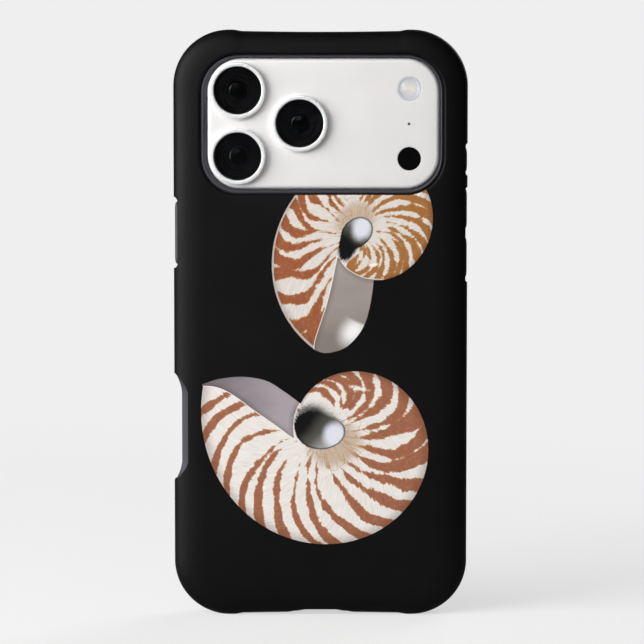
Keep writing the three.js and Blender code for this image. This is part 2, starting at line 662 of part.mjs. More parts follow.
const body = plate(
  phoneRect(0, PHONE_CORNER_RADIUS),
  PHONE_BACK_DEPTH,
  FRAME_FRONT_DEPTH,
  PHONE_EDGE_RADIUS,
  PHONE_EDGE_STEPS,
);
const plateau = plate(PLATEAU, PLATEAU_FACE_DEPTH, PHONE_BACK_DEPTH + PLATEAU_ROOT, PLATEAU_RIM);
const displayPocket = [
  plate(grown(GLASS_RECT, FIT), GLASS_BACK_DEPTH - FIT, LIP_DEPTH),
  plate(grown(PANEL_RECT, FIT), PANEL_BACK_DEPTH - FIT, LIP_DEPTH),
];
const rearWell = (place, gap, depth, sides) =>
  disc({ ...place, radius: place.radius + gap }, CUT_START_DEPTH, depth, sides);
const rearWells = [
  ...LENS_PLACES.map(({ x, z }) => rearWell({ x, z, radius: LENS_WELL.radius }, 0, LENS_WELL.depth)),
  rearWell(FLASH, FIT, FLASH_WELL_DEPTH),
  rearWell(DEPTH_WINDOW, FIT, WINDOW_WELL_DEPTH),
  rearWell(REAR_MIC, MIC_WELL.gap, MIC_WELL.depth, SMALL_SIDES),
  plate(grown(INLAY, FIT), PHONE_BACK_DEPTH - CUT_PAST, PHONE_BACK_DEPTH + INLAY_THICKNESS + FIT),
];
const bodyCutters = [
  ...displayPocket,
  ...rearWells,
  ...buttonPockets,
  controlPocket,
  socketPocket,
  ...speakerHoles,
  ...screwWells,
];
addPiece('phone_body', carve(body, bodyCutters, [plateau]), 'aluminium');
addPiece('rear_inlay', plate(INLAY, PHONE_BACK_DEPTH, PHONE_BACK_DEPTH + INLAY_THICKNESS), 'inlay');

// ---------------------------------------------------------------- the display

const PHONE_TOP = PHONE_Z + PHONE_HEIGHT / 2;
const EARPIECE = { x: 0, z: PHONE_TOP - 1.75, halfWidth: 4.6, halfHeight: 0.25, radius: 0.2 };
const EARPIECE_GAP = 0.1;
const EARPIECE_SUNK = 0.15; // the grille lies this far below the glass's face
const FRONT_CAMERA = { x: 3.6, z: PHONE_TOP - 8.2, radius: 1.5 };
const BEHIND_GLASS = { panel: 0.05, camera: 0.1 }; // gaps to the back of the cover glass

const earpieceSlot = plate(grown(EARPIECE, EARPIECE_GAP), GLASS_BACK_DEPTH - CUT_PAST, LIP_DEPTH);
const coverGlass = plate(GLASS_RECT, GLASS_BACK_DEPTH, GLASS_FACE_DEPTH, GLASS_RIM);
const cameraWell = disc(
  { ...FRONT_CAMERA, radius: FRONT_CAMERA.radius + FIT },
  PANEL_BACK_DEPTH - CUT_PAST,
  LIP_DEPTH,
  WELL_SIDES,
);
const panel = plate(PANEL_RECT, PANEL_BACK_DEPTH, GLASS_BACK_DEPTH - BEHIND_GLASS.panel);
const grille = plate(EARPIECE, GLASS_BACK_DEPTH + EARPIECE_GAP, GLASS_FACE_DEPTH - EARPIECE_SUNK);
const cameraEnd = GLASS_BACK_DEPTH - BEHIND_GLASS.camera;
addPiece('display_glass', carve(coverGlass, [earpieceSlot]), 'glass');
addPiece('display_panel', carve(panel, [cameraWell]), 'display');
addPiece('front_camera_lens', disc(FRONT_CAMERA, PANEL_BACK_DEPTH, cameraEnd, SMALL_SIDES), 'element');
addPiece('earpiece_grille', grille, 'mesh');

// ---------------------------------------------------------------- the phone's buttons and socket

for (const [name, { side, low, high }] of Object.entries(BUTTONS)) {
  const inner = PHONE_WIDTH / 2 - BUTTON_POCKET + BUTTON_TRAVEL + BUTTON_FLOOR_GAP;
  const outer = PHONE_WIDTH / 2 + BUTTON_PROUD;
  const bar = sideBar(side, inner, outer, (low + high) / 2, high - low - BUTTON_SHORTER, BUTTON_THICKNESS);
  addPiece(`${name}_button`, bar, 'aluminium');
}
addPiece(
  'camera_control',
  sideBar(
    -1,
    PHONE_WIDTH / 2 - BUTTON_POCKET + BUTTON_FLOOR_GAP,
    PHONE_WIDTH / 2 - CAMERA_CONTROL.sunk,
    CAMERA_CONTROL.z,
    CAMERA_CONTROL.length,
    CAMERA_CONTROL.thickness,
    CAMERA_CONTROL.rim,
  ),
  'aluminium',
);

const socketShell = uprightBar(
  0,
  PORT_DEPTH,
  SOCKET.width,
  SOCKET.thickness,
  PHONE_BOTTOM + SOCKET.sunk,
  PHONE_BOTTOM + SOCKET.length,
);
const socketBore = uprightBar(
  0,
  PORT_DEPTH,
  SOCKET.width - 2 * SOCKET.wall,
  SOCKET.thickness - 2 * SOCKET.wall,
  PHONE_BOTTOM - CUT_PAST,
  PHONE_BOTTOM + SOCKET.length - SOCKET.floor,
);
addPiece('port_shell', carve(socketShell, [socketBore]), 'steel');
const tongueTop = PHONE_BOTTOM + SOCKET.length - SOCKET.floor - TONGUE.gap;
const tongue = new THREE.BoxGeometry(TONGUE.width, TONGUE.thickness, TONGUE.length);
tongue.translate(0, BACK_Y + PORT_DEPTH, tongueTop - TONGUE.length / 2);
addPiece('port_tongue', tongue, 'barrel');

for (const [name, x] of [['left', -SCREW.x], ['right', SCREW.x]]) {
  const screw = new THREE.CylinderGeometry(SCREW.radius, SCREW.radius, SCREW.length, SMALL_SIDES);
  screw.rotateX(Math.PI / 2).translate(x, BACK_Y + PORT_DEPTH, PHONE_BOTTOM + SCREW.sunk + SCREW.length / 2);
  addPiece(`port_screw_${name}`, screw, 'steel');
}

// ---------------------------------------------------------------- the rear cameras

const RING_FOOT = PLATEAU_FACE_DEPTH - 0.02; // just clear of the plateau's face
const RING_BORE = LENS_GLASS_RADIUS + 0.1;
const RING_SLEEVE = 7.5;
const RING_BEVEL = 0.45;
const RING_CHAMFER = 0.25;
const SLEEVE_END = LENS_WELL.depth - 1.4;
const GLASS_DEPTHS = [LENS_TOP_DEPTH + 0.3, LENS_TOP_DEPTH + 1.3];
const WELL_FLOOR = LENS_WELL.depth - 0.15;
const BARREL = {
  radius: 6.8,
  shoulder: 6.0,
  bore: 3.0,
  top: LENS_TOP_DEPTH + 1.45,
  seat: LENS_TOP_DEPTH + 2.6,
};
const ELEMENT = {
  radius: 2.85,
  edge: LENS_TOP_DEPTH + 3.0,
  domeRadius: 1.6,
  dome: LENS_TOP_DEPTH + 2.4,
  crown: LENS_TOP_DEPTH + 2.2,
};

const ringProfile = [
  [RING_BORE, SLEEVE_END],
  [RING_SLEEVE, SLEEVE_END],
  [RING_SLEEVE, RING_FOOT],
  [LENS_RING_RADIUS, RING_FOOT],
  [LENS_RING_RADIUS, LENS_TOP_DEPTH + RING_BEVEL],
  [LENS_RING_RADIUS - RING_BEVEL, LENS_TOP_DEPTH],
  [RING_BORE + RING_CHAMFER, LENS_TOP_DEPTH],
  [RING_BORE, LENS_TOP_DEPTH + RING_CHAMFER],
];
const barrelProfile = [
  [BARREL.bore, WELL_FLOOR],
  [BARREL.radius, WELL_FLOOR],
  [BARREL.radius, BARREL.top],
  [BARREL.shoulder, BARREL.top],
  [BARREL.bore, BARREL.seat],
];
const elementProfile = [
  [0, WELL_FLOOR],
  [ELEMENT.radius, WELL_FLOOR],
  [ELEMENT.radius, ELEMENT.edge],
  [ELEMENT.domeRadius, ELEMENT.dome],
  [0, ELEMENT.crown],
];

for (const { name, ...place } of LENS_PLACES) {
  const glass = disc({ ...place, radius: LENS_GLASS_RADIUS }, ...GLASS_DEPTHS);
  addPiece(`lens_ring_${name}`, turned(place, ringProfile), 'aluminium');
  addPiece(`lens_glass_${name}`, glass, 'glass');
  addPiece(`lens_barrel_${name}`, turned(place, barrelProfile, SMALL_SIDES), 'barrel');
  addPiece(`lens_element_${name}`, turned(place, elementProfile, SMALL_SIDES), 'element');
}

const FLASH_LENS_END = 1.5;
const LED = { radius: 1.6, depths: [1.6, 2.1] };
const REAR_WINDOW_END = 1.4;
const MIC_MESH_DEPTHS = [PLATEAU_FACE_DEPTH + 0.4, 1.3];
addPiece('flash_lens', disc(FLASH, PLATEAU_FACE_DEPTH, FLASH_LENS_END), 'flash');
addPiece('flash_led', disc({ ...FLASH, radius: LED.radius }, ...LED.depths, SMALL_SIDES), 'led');
addPiece('depth_window', disc(DEPTH_WINDOW, PLATEAU_FACE_DEPTH, REAR_WINDOW_END), 'glass');
addPiece('rear_mic_mesh', disc(REAR_MIC, ...MIC_MESH_DEPTHS, SMALL_SIDES), 'mesh');

export default smartphone;
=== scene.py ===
# %% [markdown]
# # A large smartphone in a printed two-layer case
#
# This lesson dresses a packed CAD model in Blender. The CAD model gives every piece its size and place, and
# the lesson gives every piece its fine surface and its finish. A printed case is a good subject for a
# learner: nearly everything on it is dark and plain, so the shapes have to be read from soft highlights,
# and the one bright thing, the picture on its back, is drawn by a material.
#
# Everything is in metres, in the frame of the CAD model: +Z runs up the phone, -Y is the printed back with
# the cameras, and +Y is the display.

# %% Load the frame
import math

import bmesh
import bpy
import numpy as np
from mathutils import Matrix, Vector


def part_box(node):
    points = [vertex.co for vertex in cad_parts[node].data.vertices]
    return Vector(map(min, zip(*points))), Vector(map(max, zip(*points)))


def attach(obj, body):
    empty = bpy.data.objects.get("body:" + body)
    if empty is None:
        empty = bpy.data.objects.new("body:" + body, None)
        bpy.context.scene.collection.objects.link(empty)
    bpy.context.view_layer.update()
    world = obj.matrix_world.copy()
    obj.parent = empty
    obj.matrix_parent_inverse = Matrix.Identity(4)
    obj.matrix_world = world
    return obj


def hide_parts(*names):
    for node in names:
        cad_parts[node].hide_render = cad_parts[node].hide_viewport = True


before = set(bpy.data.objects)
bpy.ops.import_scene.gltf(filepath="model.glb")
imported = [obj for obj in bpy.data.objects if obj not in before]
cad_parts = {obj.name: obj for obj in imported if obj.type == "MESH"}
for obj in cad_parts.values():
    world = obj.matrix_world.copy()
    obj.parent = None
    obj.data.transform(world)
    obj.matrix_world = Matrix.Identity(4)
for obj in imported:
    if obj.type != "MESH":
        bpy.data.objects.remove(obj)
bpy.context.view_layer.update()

MM = 0.001
MAIN_BODY = "case_and_phone"

# %% [markdown]
# ## Camera, light and floor
#
# A shallow product such as this one is shown through a long lens, from straight in front and a little
# above, so that its sides stay parallel. The camera is placed first, because every later choice is
# judged through it. It looks at the middle of the object from 0.8 m away, 3.9 degrees above the
# horizontal.

# %% The camera
CAMERA_DISTANCE = 0.8
CAMERA_RISE = math.radians(3.9)
SENSOR_WIDTH = 0.036
LENS_LENGTH = 0.1513
MIDDLE_HEIGHT = 87.07 * MM

look_at = Vector((0.0, 0.0, MIDDLE_HEIGHT))
camera_data = bpy.data.cameras.new("studio_camera")
camera_data.sensor_width = SENSOR_WIDTH / MM
camera_data.lens = LENS_LENGTH / MM
camera_data.shift_x = 0.0022
camera_data.shift_y = -0.0017
camera_data.clip_start = 0.01
camera = bpy.data.objects.new("studio_camera", camera_data)
bpy.context.scene.collection.objects.link(camera)
camera.location = look_at + CAMERA_DISTANCE * Vector((0, -math.cos(CAMERA_RISE), math.sin(CAMERA_RISE)))
camera.rotation_euler = (math.pi / 2 - CAMERA_RISE, 0, 0)
bpy.context.scene.camera = camera
bpy.context.scene.view_settings.view_transform = "Standard"
print("camera stands at", [round(value, 4) for value in camera.location])

# %% [markdown]
# A black object shows its shape only by what it reflects. One large soft panel on the left puts a gentle
# sheen on the left edge and leaves the right edge nearly black. A much weaker one, high in front, fills the
# pale parts. A faint one above draws the top edge, and a last one behind keeps the display side readable.
# The room around it has two strengths: it is pale where the camera sees it directly, as a lit studio wall
# is, and dim where the object reflects it, as the dark side of a studio is.

# %% The soft panels and the room
def soft_panel(name, place, size, watts):
    """An area light of a given size, turned to face the middle of the object."""
    data = bpy.data.lights.new(name, "AREA")
    data.shape = "RECTANGLE"
    data.size, data.size_y = size
    data.energy = watts
    light = bpy.data.objects.new(name, data)
    light.location = place
    light.rotation_euler = (look_at - Vector(place)).to_track_quat("-Z", "Y").to_euler()
    bpy.context.scene.collection.objects.link(light)


soft_panel("left_panel", (-1.0, -0.6, 0.35), (0.9, 1.0), 25.5)
soft_panel("high_panel", (-0.3, -0.85, 0.6), (0.8, 0.5), 3.0)
soft_panel("top_panel", (-0.15, 0.1, 1.1), (0.9, 0.9), 0.3)
soft_panel("rear_panel", (0.55, 0.9, 0.6), (0.7, 0.7), 6.0)

SEEN_STRENGTH = 0.863
REFLECTED_STRENGTH = 0.05
world = bpy.data.worlds.new("studio_world")
world.use_nodes = True
bpy.context.scene.world = world
world_nodes, world_links = world.node_tree.nodes, world.node_tree.links
room_glow = world_nodes["Background"]
room_glow.inputs["Color"].default_value = (1.0, 1.0, 1.0, 1.0)
ray_kind = world_nodes.new("ShaderNodeLightPath")
room_strength = world_nodes.new("ShaderNodeMapRange")
room_strength.inputs["To Min"].default_value = REFLECTED_STRENGTH
room_strength.inputs["To Max"].default_value = SEEN_STRENGTH
world_links.new(ray_kind.outputs["Is Camera Ray"], room_strength.inputs["Value"])
world_links.new(room_strength.outputs["Result"], room_glow.inputs["Strength"])

# %% [markdown]
# The floor is one pale sheet that runs flat under the phone and then curves up behind it, as a paper sweep
# does in a studio. A curve has no corner, so no horizon line crosses the picture. It is swept along a bend
# made of a flat run, a quarter circle and an upright run.

# %% The paper sweep
def link_mesh(name, vertices, faces, smooth_angle=None):
    """Makes a mesh object from points and faces, smooth-shaded below an angle in degrees."""
    mesh = bpy.data.meshes.new(name)
    mesh.from_pydata([tuple(point) for point in vertices], [], [tuple(face) for face in faces])
    mesh.validate()
    mesh.update()
    if smooth_angle is not None:
        mesh.polygons.foreach_set("use_smooth", [True] * len(mesh.polygons))
        mesh.set_sharp_from_angle(angle=math.radians(smooth_angle))
    piece = bpy.data.objects.new(name, mesh)
    bpy.context.scene.collection.objects.link(piece)
    return piece


def sweep_profile(front, back, radius, height):
    """Points (distance, height) of a paper sweep seen from the side."""
    bend = [(back - radius + radius * math.sin(a), radius - radius * math.cos(a))
            for a in np.linspace(0, math.pi / 2, BEND_STEPS)]
    return [(front, 0.0), *bend, (back, height)]


BEND_STEPS = 24
SWEEP_HALF_WIDTH = 6.0
profile = sweep_profile(front=-6.0, back=4.0, radius=2.5, height=8.0)
sweep_points = [(side * SWEEP_HALF_WIDTH, y, z) for y, z in profile for side in (-1, 1)]
sweep_faces = [(2 * i, 2 * i + 1, 2 * i + 3, 2 * i + 2) for i in range(len(profile) - 1)]
floor = link_mesh("paper_sweep", sweep_points, sweep_faces, 60)
print("paper sweep:", len(sweep_faces), "strips")

# %% [markdown]
# ### Small helpers for node materials
#
# A node material is a graph, and a graph written out by hand hides its idea under plumbing. `Finish` wraps
# one material: `add` makes a node and sets or links its inputs by name, and `set` does the same on the
# surface shader. Values that are the same all over a surface are always set straight on the shader's own
# sockets.

# %% A wrapper for materials
class Finish:
    """One material, its Principled shader, and short ways to add nodes to it."""

    def __init__(self, name, **values):
        self.material = bpy.data.materials.new(name)
        self.material.use_nodes = True
        self.tree = self.material.node_tree
        self.shader = self.tree.nodes["Principled BSDF"]
        self.set(**values)

    def put(self, node, name, value):
        socket = node.inputs[name]
        if isinstance(value, bpy.types.NodeSocket):
            self.tree.links.new(value, socket)
        elif isinstance(value, tuple) and len(value) == 3 and socket.type == "RGBA":
            socket.default_value = (*value, 1.0)
        else:
            socket.default_value = value

    def set(self, **values):
        for name, value in values.items():
            self.put(self.shader, name.replace("_", " "), value)

    def add(self, kind, inputs=None, **settings):
        node = self.tree.nodes.new("ShaderNode" + kind)
        for name, value in settings.items():
            setattr(node, name, value)
        for name, value in (inputs or {}).items():
            self.put(node, name, value)
        return node

    def place(self):
        """The object's own coordinates, which don't move with the camera."""
        return self.add("TexCoord").outputs["Object"]

    def noise(self, scale, detail=3.0, roughness=0.55, vector=None):
        inputs = {"Vector": vector or self.place(), "Scale": scale, "Detail": detail, "Roughness": roughness}
        return self.add("TexNoise", inputs).outputs["Fac"]

    def stretched(self, factors):
        """The coordinates multiplied along each axis, which draws a texture out into streaks."""
        return self.add("VectorMath", {0: self.place(), 1: factors}, operation="MULTIPLY").outputs[0]

    def distance(self, point):
        """The distance from a point on the object."""
        return self.add("VectorMath", {0: self.place(), 1: point}, operation="DISTANCE").outputs["Value"]

    def math(self, operation, first, second=0.0):
        return self.add("Math", {0: first, 1: second}, operation=operation).outputs[0]

    def ramp(self, value, low, high, to_low=0.0, to_high=1.0, smooth=False):
        """Maps a value from one range to another, clamped."""
        kind = "SMOOTHSTEP" if smooth else "LINEAR"
        inputs = {"Value": value, "From Min": low, "From Max": high, "To Min": to_low, "To Max": to_high}
        return self.add("MapRange", inputs, interpolation_type=kind).outputs["Result"]

    def mix(self, factor, first, second):
        """Mixes two colours. A factor of 0 gives the first."""
        node = self.add("Mix", data_type="RGBA")
        for socket, value in ((node.inputs[0], factor), (node.inputs[6], first), (node.inputs[7], second)):
            if isinstance(value, bpy.types.NodeSocket):
                self.tree.links.new(value, socket)
            else:
                socket.default_value = (*value, 1.0) if isinstance(value, tuple) else value
        return node.outputs[2]

    def over(self, below, above, value, *span, **kind):
        """Lays a colour over another one, as strongly as a ramp of the value says."""
        return self.mix(self.ramp(value, *span, **kind), below, above)

    def bump(self, height, distance, strength=1.0):
        inputs = {"Height": height, "Distance": distance, "Strength": strength}
        return self.add("Bump", inputs).outputs["Normal"]

    def attribute(self, name):
        """A number stored on the mesh."""
        return self.add("Attribute", attribute_name=name).outputs["Fac"]

    def frayed(self, value, *noises):
        """A value that pairs (noise, amount) shift a little to both sides."""
        for noise, amount in noises:
            shift = self.math("MULTIPLY", self.math("SUBTRACT", noise, 0.5), amount)
            value = self.math("ADD", value, shift)
        return value


print("ways to build a finish:", [name for name in vars(Finish) if not name.startswith("_")])

# %% [markdown]
# A finished piece needs three more facts: which body it moves with, which node of the CAD model it stands in
# for, and which finish it wears. One function states them all, so that no piece can be
# left half placed.

# %% Coating and placing a piece
def coat(piece, finish):
    """Gives a piece one material."""
    piece.data.materials.clear()
    piece.data.materials.append(finish.material)


def place_in_model(piece, node, finish=None, body=MAIN_BODY):
    """Lets a piece ride on a body and stand in for one node of the CAD model."""
    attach(piece, body)
    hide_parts(node)
    if finish is not None:
        coat(piece, finish)


print("pieces ride on", MAIN_BODY, "unless another body is named")


# %% [markdown]
# White paper on its own would need a second set of lights to come out evenly bright. Here the sheet gives
# most of that light itself. Close to the object it is partly ordinary paper, so that it still takes a soft
# shadow, and further off it only glows, so that it fades into one even tone. To the object it glows much
# more weakly than to the eye, or it would light up the black plastic.

# %% Pale paper
PAPER_TONE = 0.863
GLOW_NEAR = 0.58
PAPER_WHITE = 0.36
GLOW_REFLECTED = 0.14
paper = Finish("pale_paper", Roughness=0.85)
from_object = paper.add("VectorMath", {0: paper.place()}, operation="LENGTH").outputs["Value"]
near = paper.ramp(from_object, 0.12, 0.62, 1.0, 0.0, smooth=True)
seen = paper.add("LightPath").outputs["Is Camera Ray"]
fibre = paper.ramp(paper.noise(420.0, 3.0), 0.3, 0.7, 0.97, 1.0)
paper_tone = paper.math("MULTIPLY", paper.math("MULTIPLY", near, PAPER_WHITE), fibre)
paper.set(
    Base_Color=paper.add("CombineColor", {0: paper_tone, 1: paper_tone, 2: paper_tone}).outputs[0],
    Emission_Color=(1.0, 1.0, 1.0),
    Emission_Strength=paper.math("MULTIPLY", paper.ramp(near, 0.0, 1.0, PAPER_TONE, GLOW_NEAR),
                                 paper.ramp(seen, 0.0, 1.0, GLOW_REFLECTED, 1.0)),
    Normal=paper.bump(paper.noise(900.0, 2.0), 0.0002, 0.15),
    Specular_IOR_Level=0.0,
)
coat(floor, paper)
print("paper glows at", GLOW_NEAR, "near the object and at", PAPER_TONE, "far from it")

# %% [markdown]
# ## The case's outline and section
#
# Both layers of the case are one idea: a section that is carried around an outline. The back is flat,
# curves away to the sides as a superellipse, runs forwards as a straight wall and ends at the display. Such
# a form could be modelled from a subdivided box, but its corners would only be nearly round. A loft keeps
# them exact: the outline is a list of places, the section is a function, and each place carries one copy of
# the section.
#
# The sizes below are those of the CAD model. What can be read from the frame is read from it.

# %% Sizes of the case and the phone
shell_low, shell_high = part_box("hard_shell")
_, liner_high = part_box("inner_liner")
phone_low, phone_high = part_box("phone_body")

HALF_WIDTH = shell_high.x
CASE_HEIGHT = shell_high.z
BACK_Y = shell_low.y
SHELL_FRONT_DEPTH = shell_high.y - BACK_Y
LIP_DEPTH = liner_high.y - BACK_Y
PHONE_HALF = phone_high.x
PHONE_BOTTOM, PHONE_TOP = phone_low.z, phone_high.z
PHONE_HEIGHT = PHONE_TOP - PHONE_BOTTOM
FRAME_FRONT_DEPTH = phone_high.y - BACK_Y
PLATEAU_FACE = phone_low.y - BACK_Y
GLASS_FACE_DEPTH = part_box("display_glass")[1].y - BACK_Y
PHONE_BACK_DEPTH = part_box("rear_inlay")[0].y - BACK_Y

CORNER_RADIUS = 16.4 * MM
CASE_WALL = HALF_WIDTH - PHONE_HALF
PHONE_CORNER = CORNER_RADIUS - CASE_WALL
BUMPER_EXTRA = PHONE_BOTTOM - CASE_WALL
PHONE_EDGE = 2.4 * MM
SHELL_THICKNESS = 1.4 * MM
LINER_OFFSET = 1.6 * MM
FALL_WIDTH, FALL_DEPTH, FALL_POWER = 10.5 * MM, 4.2 * MM, 2.5
FLANGE_OFFSET = 0.3 * MM
LIP_OVERHANG = 1.1 * MM

CORNER_X = HALF_WIDTH - CORNER_RADIUS
STEP_START = CORNER_X - 1.1 * MM
STEP_WIDTH, STEP_FALL, HOLLOW_FALL = 3.0 * MM, 0.35 * MM, 0.3 * MM
print(f"case wall {CASE_WALL / MM:.2f} mm, extra at the ends {BUMPER_EXTRA / MM:.2f} mm")

# %% [markdown]
# The cut-outs for the keys, the camera control and the plug are not holes in the hard shell. They are
# places where its front edge swings back, so each is written as a rule for that edge: where it starts, how
# long its ramp is, and how far in it goes. The ramp is a quarter sine at the sides and a soft S at the
# bottom.

# %% Places around the outline
def smooth_step(share):
    share = np.clip(share, 0.0, 1.0)
    return share * share * (3 - 2 * share)


def end_fall(x):
    """How far the top and bottom ends lie inside the line through the thicker corners."""
    from_flat = np.maximum(STEP_START - np.abs(x), 0.0)
    hollow = 1 - (1 - from_flat / STEP_START) ** 2
    return STEP_FALL * smooth_step(from_flat / STEP_WIDTH) + HOLLOW_FALL * hollow


# edge, then in mm: lowest, highest, ramp, inset of the shell's edge, scoop of the liner behind it
NOTCHES = [
    ("right", 129.7, 139.8, 1.2, 0.65, 1.6),
    ("right", 98.4, 127.0, 1.2, 0.65, 1.6),
    ("left", 102.5, 124.1, 1.6, 1.2, 1.6),
    ("left", 39.8, 72.1, 6.5, 4.2, 2.25),
    ("bottom", -10.9, 10.9, 5.6, 1.05, 0.3),
]
NOTCH_LEAD = 0.35 * MM
PITCH = 1.6 * MM
CLOSEST = 0.06 * MM
CORNER_STEPS = 26
EDGES = ("right", "top", "left", "bottom", "corner")


print(len(NOTCHES), "notches")

# %% [markdown]
# A place is one point of the outline with what the section needs there: the case's edge, the phone's edge
# under it, the outward direction, and which edge it belongs to. Straight runs get an even pitch with more
# places at the ramps of the notches, where the shape changes fast, and the corners are quarter circles.

# %% The outline, place by place
def straight_places(edge, along):
    """Rows of x, z, phone x, phone z, normal x, normal z, edge number, coordinate along the edge."""
    along = np.asarray(along, float)
    same = np.ones_like(along)
    code = same * EDGES.index(edge)
    if edge in ("right", "left"):
        sign = 1.0 if edge == "right" else -1.0
        columns = (same * sign * HALF_WIDTH, along, same * sign * PHONE_HALF, along, same * sign, 0 * same)
    else:
        sign = 1.0 if edge == "top" else -1.0
        z = CASE_HEIGHT - end_fall(along) if edge == "top" else end_fall(along)
        phone_z = PHONE_TOP if edge == "top" else PHONE_BOTTOM
        columns = (along, z, along, same * phone_z, 0 * same, same * sign)
    return np.column_stack((*columns, code, along))


def corner_places(sign_x, sign_z, start):
    angle = start + np.linspace(0, math.pi / 2, CORNER_STEPS + 1)
    cos, sin = np.cos(angle), np.sin(angle)
    x0, z0 = sign_x * CORNER_X, CASE_HEIGHT - CORNER_RADIUS if sign_z > 0 else CORNER_RADIUS
    same = np.ones_like(angle)
    return np.column_stack((
        x0 + CORNER_RADIUS * cos, z0 + CORNER_RADIUS * sin,
        x0 + PHONE_CORNER * cos, z0 - sign_z * BUMPER_EXTRA + PHONE_CORNER * sin,
        cos, sin, same * EDGES.index("corner"), 0 * same))


def edge_stops(edge, start, end):
    """Coordinates along an edge: an even pitch, and more of them at the ramps of its notches."""
    stops = list(np.arange(start + PITCH, end - PITCH / 2, PITCH))
    if edge in ("top", "bottom"):
        stops += [s * (STEP_START - STEP_WIDTH * k) for s in (-1, 1) for k in np.linspace(0, 1, 9)]
    for name, low, high, ramp, _, _ in NOTCHES:
        if name == edge:
            steep = NOTCH_LEAD * np.linspace(0, 2, 13)
            curve = 2 * NOTCH_LEAD + (ramp * MM - 2 * NOTCH_LEAD) * np.linspace(0, 1, 15)[1:]
            for reach in (*steep, *curve):
                stops += [low * MM + reach, high * MM - reach]
    kept = [start]
    for stop in sorted(stops):
        if stop - kept[-1] > CLOSEST and stop < end:
            kept.append(stop)
    return np.array(kept[1:])


BOTTOM_Z, TOP_Z = CORNER_RADIUS, CASE_HEIGHT - CORNER_RADIUS
places = np.vstack((
    straight_places("right", edge_stops("right", BOTTOM_Z, TOP_Z)), corner_places(1, 1, 0),
    straight_places("top", edge_stops("top", -CORNER_X, CORNER_X)[::-1]), corner_places(-1, 1, math.pi / 2),
    straight_places("left", edge_stops("left", BOTTOM_Z, TOP_Z)[::-1]), corner_places(-1, -1, math.pi),
    straight_places("bottom", edge_stops("bottom", -CORNER_X, CORNER_X)), corner_places(1, -1, -math.pi / 2),
))
PX, PZ, PHONE_PX, PHONE_PZ, NX, NZ, EDGE_CODE, ALONG = places.T
print(len(places), "places around the outline")

# %% [markdown]
# The section is written once, with a running number `t`: 0 is on the flat back, 1 at the top of the side
# wall and 2 at the shell's front edge. An inner surface is the same section moved inwards along its own
# normal, which keeps the plastic equally thick everywhere, as a moulded part has to be.

# %% The section
SHOULDER = 1.02


def section(t):
    """Inset and depth of the outer surface at t."""
    angle = np.clip(t, 0, 1) * math.pi / 2
    power = 2 / FALL_POWER
    inset = FALL_WIDTH * (1 - np.sin(angle) ** power)
    curved = FALL_DEPTH * (1 - np.clip(np.cos(angle), 0, 1) ** power)
    wall = FALL_DEPTH + (np.asarray(t) - 1) * (SHELL_FRONT_DEPTH - FALL_DEPTH)
    return np.where(t >= 1, 0.0, inset), np.where(t >= 1, wall, curved)


def section_at(inset):
    """The t at which the curved part has an inset."""
    share = np.clip(1 - inset / FALL_WIDTH, 0, 1)
    return np.arcsin(share ** (FALL_POWER / 2)) * 2 / math.pi


def wall_at(depth):
    return 1 + (depth - FALL_DEPTH) / (SHELL_FRONT_DEPTH - FALL_DEPTH)


def moved_in(t, offset):
    """The section at t, moved inwards by an offset."""
    t = np.asarray(t, float)
    inset, depth = section(t)
    small = 1e-4
    inset_a, depth_a = section(np.clip(t, small, 1.0 - small) - small)
    inset_b, depth_b = section(np.clip(t, small, 1.0 - small) + small)
    across, down = depth_b - depth_a, inset_a - inset_b
    length = np.hypot(across, down)
    on_wall = t >= 1
    return (inset + offset * np.where(on_wall, 1.0, across / length),
            depth + offset * np.where(on_wall, 0.0, down / length))


def from_case(inset, depth):
    return np.column_stack((PX - inset * NX, BACK_Y + depth + 0 * PX, PZ - inset * NZ))


def from_phone(outset, depth):
    return np.column_stack((PHONE_PX + outset * NX, BACK_Y + depth + 0 * PX, PHONE_PZ + outset * NZ))


print(f"the curve is {FALL_WIDTH / MM:.1f} mm wide and {FALL_DEPTH / MM:.1f} mm deep")

# %% [markdown]
# The camera opening cuts into the curved part of the back, so the height of the back has to be known
# anywhere, not only along the outline. `back_fall` gives it from the distance to the edge. A bisection then
# finds where the ray from the opening's middle towards each place crosses the opening's rim.

# %% The camera opening's rim
PLATEAU = dict(x=0.85 * MM, z=145.2 * MM, half_width=33.9 * MM, half_height=18.95 * MM, radius=9.7 * MM)
OPENING = dict(x=0.45 * MM, z=144.95 * MM, half_width=35.3 * MM, half_height=20.1 * MM, radius=10.8 * MM)
CASE_RECT = dict(x=0.0, z=CASE_HEIGHT / 2, half_width=HALF_WIDTH, half_height=CASE_HEIGHT / 2,
                 radius=CORNER_RADIUS)
RIM_GAP = 0.35 * MM
RIM_ROUND = 0.7 * MM


def distance_to(rect, x, z):
    """Distance from a rounded rectangle's edge, positive outside it."""
    dx = np.abs(x - rect["x"]) - (rect["half_width"] - rect["radius"])
    dz = np.abs(z - rect["z"]) - (rect["half_height"] - rect["radius"])
    outside = np.hypot(np.maximum(dx, 0), np.maximum(dz, 0))
    return outside + np.minimum(np.maximum(dx, dz), 0) - rect["radius"]


def back_fall(x, z):
    """How far the case's back lies in front of its flat part, from the distance to the outline."""
    return section(section_at(-distance_to(CASE_RECT, x, z)))[1]


def on_rim(rect, grow):
    """Where the ray from the opening's middle to each place crosses a grown rounded rectangle."""
    dx, dz = PX - OPENING["x"], PZ - OPENING["z"]
    length = np.hypot(dx, dz)
    dx, dz = dx / length, dz / length
    inside, outside = np.zeros_like(PX), np.full_like(PX, CASE_HEIGHT)
    for _ in range(40):
        middle = (inside + outside) / 2
        within = distance_to(rect, OPENING["x"] + middle * dx, OPENING["z"] + middle * dz) < grow
        inside, outside = np.where(within, middle, inside), np.where(within, outside, middle)
    return OPENING["x"] + inside * dx, OPENING["z"] + inside * dz


